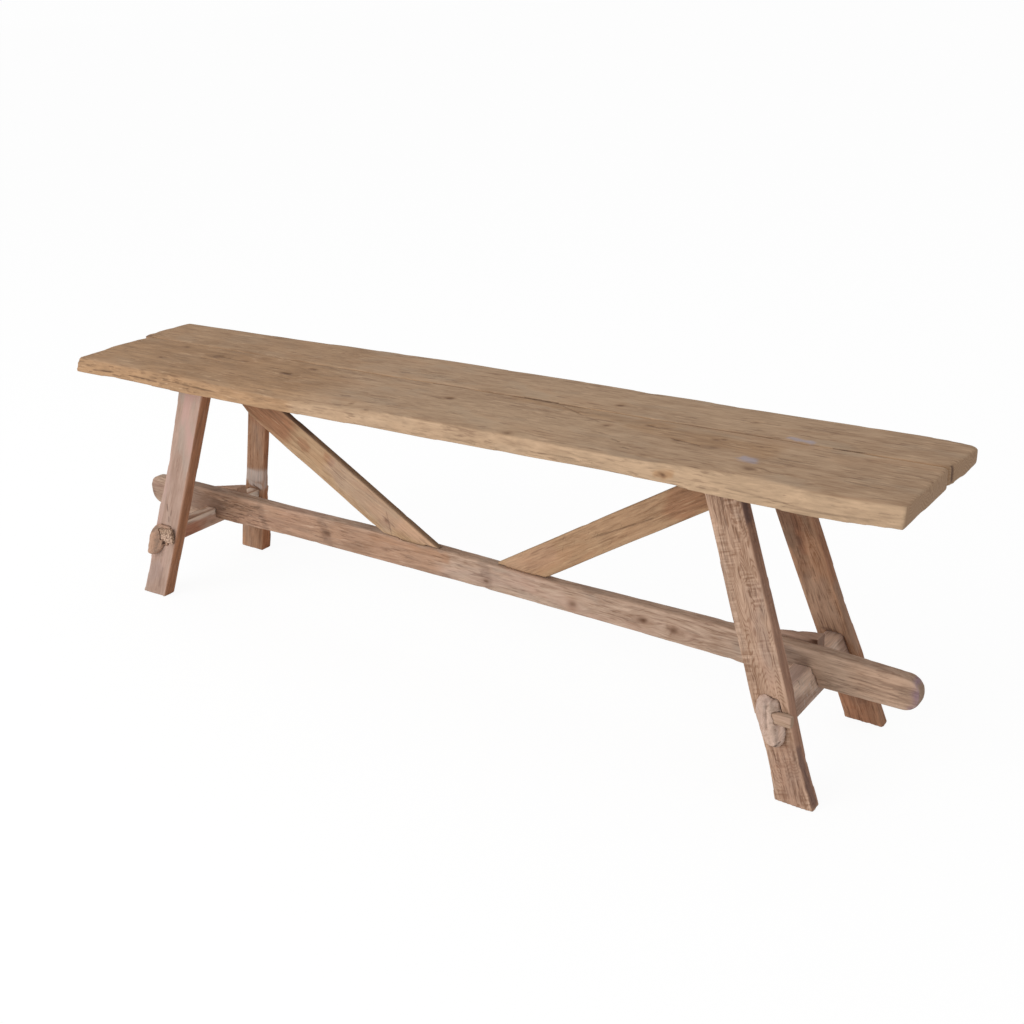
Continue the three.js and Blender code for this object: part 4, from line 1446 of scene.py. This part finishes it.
@dataclass
class Braces:
    """The two slanting braces."""

    cell: float = 2.5 * MM
    first_seed: int = 81
    left: tuple[Blemish, ...] = marks_on(
        Face.MINUS, Places.XZ,
        # Painted shade on the brace's upper side, which faces away from the lamp, darkest towards
        # the seat
        (DARK, -250, 300, -250, 300, 600, 0.6), (DARK, -440, 400, -360, 350, 30, 0.9),
    ) + marks_on(
        Face.OVER, Places.XZ,
        # The DARK mark is painted shade under the seat's edge
        (STAIN, -500, 400, -400, 360, 34, 0.75), (DARK, -440, 392, -400, 372, 12, 0.2),
        (STAIN, -352, 330, -340, 320, 10, 0.5), (STAIN, -290, 312, -280, 302, 8, 0.5),
        (KNOT, -160, 214, -160, 214, 3.5, 0.6, 0.6), (PATCH, -270, 290, -150, 218, 24, 0.15),
        (FRESH, -125, 212, -65, 194, 13, 0.8), (CRACK, -168, 222, -140, 205, 1.2, 0.5, 0.5),
        (CRACK, -158, 232, -150, 190, 1, 0.45, 0.5),
    )
    right: tuple[Blemish, ...] = marks_on(
        Face.OVER, Places.XZ,
        (STAIN, 180, 230, 500, 400, 60, 0.2), (STAIN, 410, 350, 500, 400, 26, 0.6),
        (FRESH, 108, 182, 186, 224, 18, 0.5), (CRACK, 253, 262, 397, 334, 1, 0.5, 0.5),
        (ROUGH, 190, 236, 240, 262, 18, 0.6), (ROUGH, 360, 330, 470, 380, 16, 0.6),
    )

    def axes(self, node: str, side: int) -> TimberAxes:
        """Finds a brace's axes, along its slope and out through its front face.

        Args:
            node: The brace's node.
            side: The end of the bench that it climbs to, -1 or 1 along X.

        Returns:
            The brace's axes.
        """
        low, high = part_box(node)
        along = Vector((side * (high.x - low.x), 0.0, high.z - low.z))
        return TimberAxes(along, Vector((0.0, -1.0, 0.0)))

    def build(self) -> None:
        """Builds the braces."""
        scratches = scattered(
            CRACK, (185, -5, 226), (330, -5, 292), 22, 7, 0.5, 0.4, 2.2, seed=15, depth=0.2,
        )
        plans = (("brace_left", -1, self.left), ("brace_right", 1, self.right + scratches))
        for seed, (node, side, marks) in enumerate(plans, self.first_seed):
            Timber(
                node, node + "_timber", "brace_wood", BRACE_FINISH, self.axes(node, side),
                self.cell, Wear(), marks, seed,
            ).build()


@dataclass
class HiddenPieces:
    """The dowels and pins inside the joints, which keep their solids."""

    dowels: int = 5

    def build(self) -> None:
        """Gives each hidden solid the timber of the pegs."""
        material = PEG_FINISH.material()
        names = [f"seat_dowel_{number + 1}" for number in range(self.dowels)]
        names += ["brace_pin_left", "brace_pin_right"]
        for name in names:
            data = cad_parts[name].data
            data.materials.clear()
            data.materials.append(material)


@dataclass
class Studio:
    """The plain pale floor, the soft light and the camera at the photograph's angle."""

    floor_half: float = 300.0
    floor_grey: Paint = (0.86, 0.86, 0.86, 1.0)
    floor_light: float = 1.03
    floor_glow: float = 0.9
    sky: float = 0.65
    backdrop: float = 0.985
    lens: float = 44.5413
    sensor: float = 36.0
    camera_place: Point = (1.258748, -1.536341, 1.056129)
    yaw: float = math.radians(36.806)
    pitch: float = math.radians(22.033)
    roll: float = math.radians(-2.923)
    key_power: float = 116.0
    key_size: float = 4.2
    key_place: Point = (-1.6, -3.6, 1.7)
    key_aim: Point = (0.0, 0.0, 0.3)

    def camera(self) -> None:
        """Sets the camera up from its place, its aim and its roll."""
        ahead = Vector((
            -math.sin(self.yaw) * math.cos(self.pitch),
            math.cos(self.yaw) * math.cos(self.pitch),
            -math.sin(self.pitch),
        ))
        level = ahead.cross(Vector((0.0, 0.0, 1.0))).normalized()
        upright = level.cross(ahead)
        right = level * math.cos(self.roll) + upright * math.sin(self.roll)
        up = right.cross(ahead)
        data = bpy.data.cameras.new("photo_camera")
        data.lens = self.lens
        data.sensor_width = self.sensor
        camera = placed("photo_camera", data)
        turn = Matrix((right, up, -ahead)).transposed().to_4x4()
        camera.matrix_world = Matrix.Translation(Vector(self.camera_place)) @ turn
        bpy.context.scene.camera = camera

    def floor(self) -> None:
        """Lays the floor, white to the camera and with a faint shadow of the bench."""
        net = bmesh.new()
        bmesh.ops.create_grid(net, x_segments=1, y_segments=1, size=self.floor_half)
        mesh = bpy.data.meshes.new("studio_floor")
        net.to_mesh(mesh)
        net.free()
        floor = placed("studio_floor", mesh)
        material = bpy.data.materials.new("studio_floor")
        tree = NodeTree(material)
        grey = tree.node("ShaderNodeBsdfDiffuse", {"Color": self.floor_grey})
        glow = tree.node("ShaderNodeEmission", {"Strength": self.floor_light})
        seen = tree.node("ShaderNodeLightPath", {}).outputs["Is Camera Ray"]
        share = tree.times(seen, self.floor_glow)
        mix = tree.node("ShaderNodeMixShader", {0: share, 1: grey.outputs[0], 2: glow.outputs[0]})
        tree.node("ShaderNodeOutputMaterial", {"Surface": mix.outputs[0]})
        mesh.materials.append(material)

    def light(self) -> None:
        """Sets a soft sky all round and one large soft lamp in front, low and to the left."""
        world = bpy.data.worlds.new("studio_sky")
        bpy.context.scene.world = world
        tree = NodeTree(world)
        sky = tree.node("ShaderNodeBackground", {"Color": WHITE, "Strength": self.sky})
        backdrop = tree.node("ShaderNodeBackground", {"Color": WHITE, "Strength": self.backdrop})
        seen = tree.node("ShaderNodeLightPath", {}).outputs["Is Camera Ray"]
        mix = tree.node("ShaderNodeMixShader", {0: seen, 1: sky.outputs[0], 2: backdrop.outputs[0]})
        tree.node("ShaderNodeOutputWorld", {"Surface": mix.outputs[0]})
        lamp = bpy.data.lights.new("key_light", "AREA")
        lamp.shape = "DISK"
        lamp.size = self.key_size
        lamp.energy = self.key_power
        key = placed("key_light", lamp)
        key.location = self.key_place
        aim = Vector(self.key_aim) - key.location
        key.rotation_euler = aim.to_track_quat("-Z", "Y").to_euler()

    def build(self) -> None:
        """Sets up the view, the floor, the light and the plain colour transform."""
        bpy.context.scene.view_settings.view_transform = "Standard"
        self.camera()
        self.floor()
        self.light()


def main() -> None:
    """Builds the studio and the bench, piece by piece."""
    logging.basicConfig(level=logging.INFO, format="%(name)s: %(message)s")
    for part in (Studio(), Seat(), Legs(), Rails(), Stretcher(), Braces(), HiddenPieces()):
        part.build()
        LOG.info("%s done", type(part).__name__)


if __name__ == "__main__":
    main()
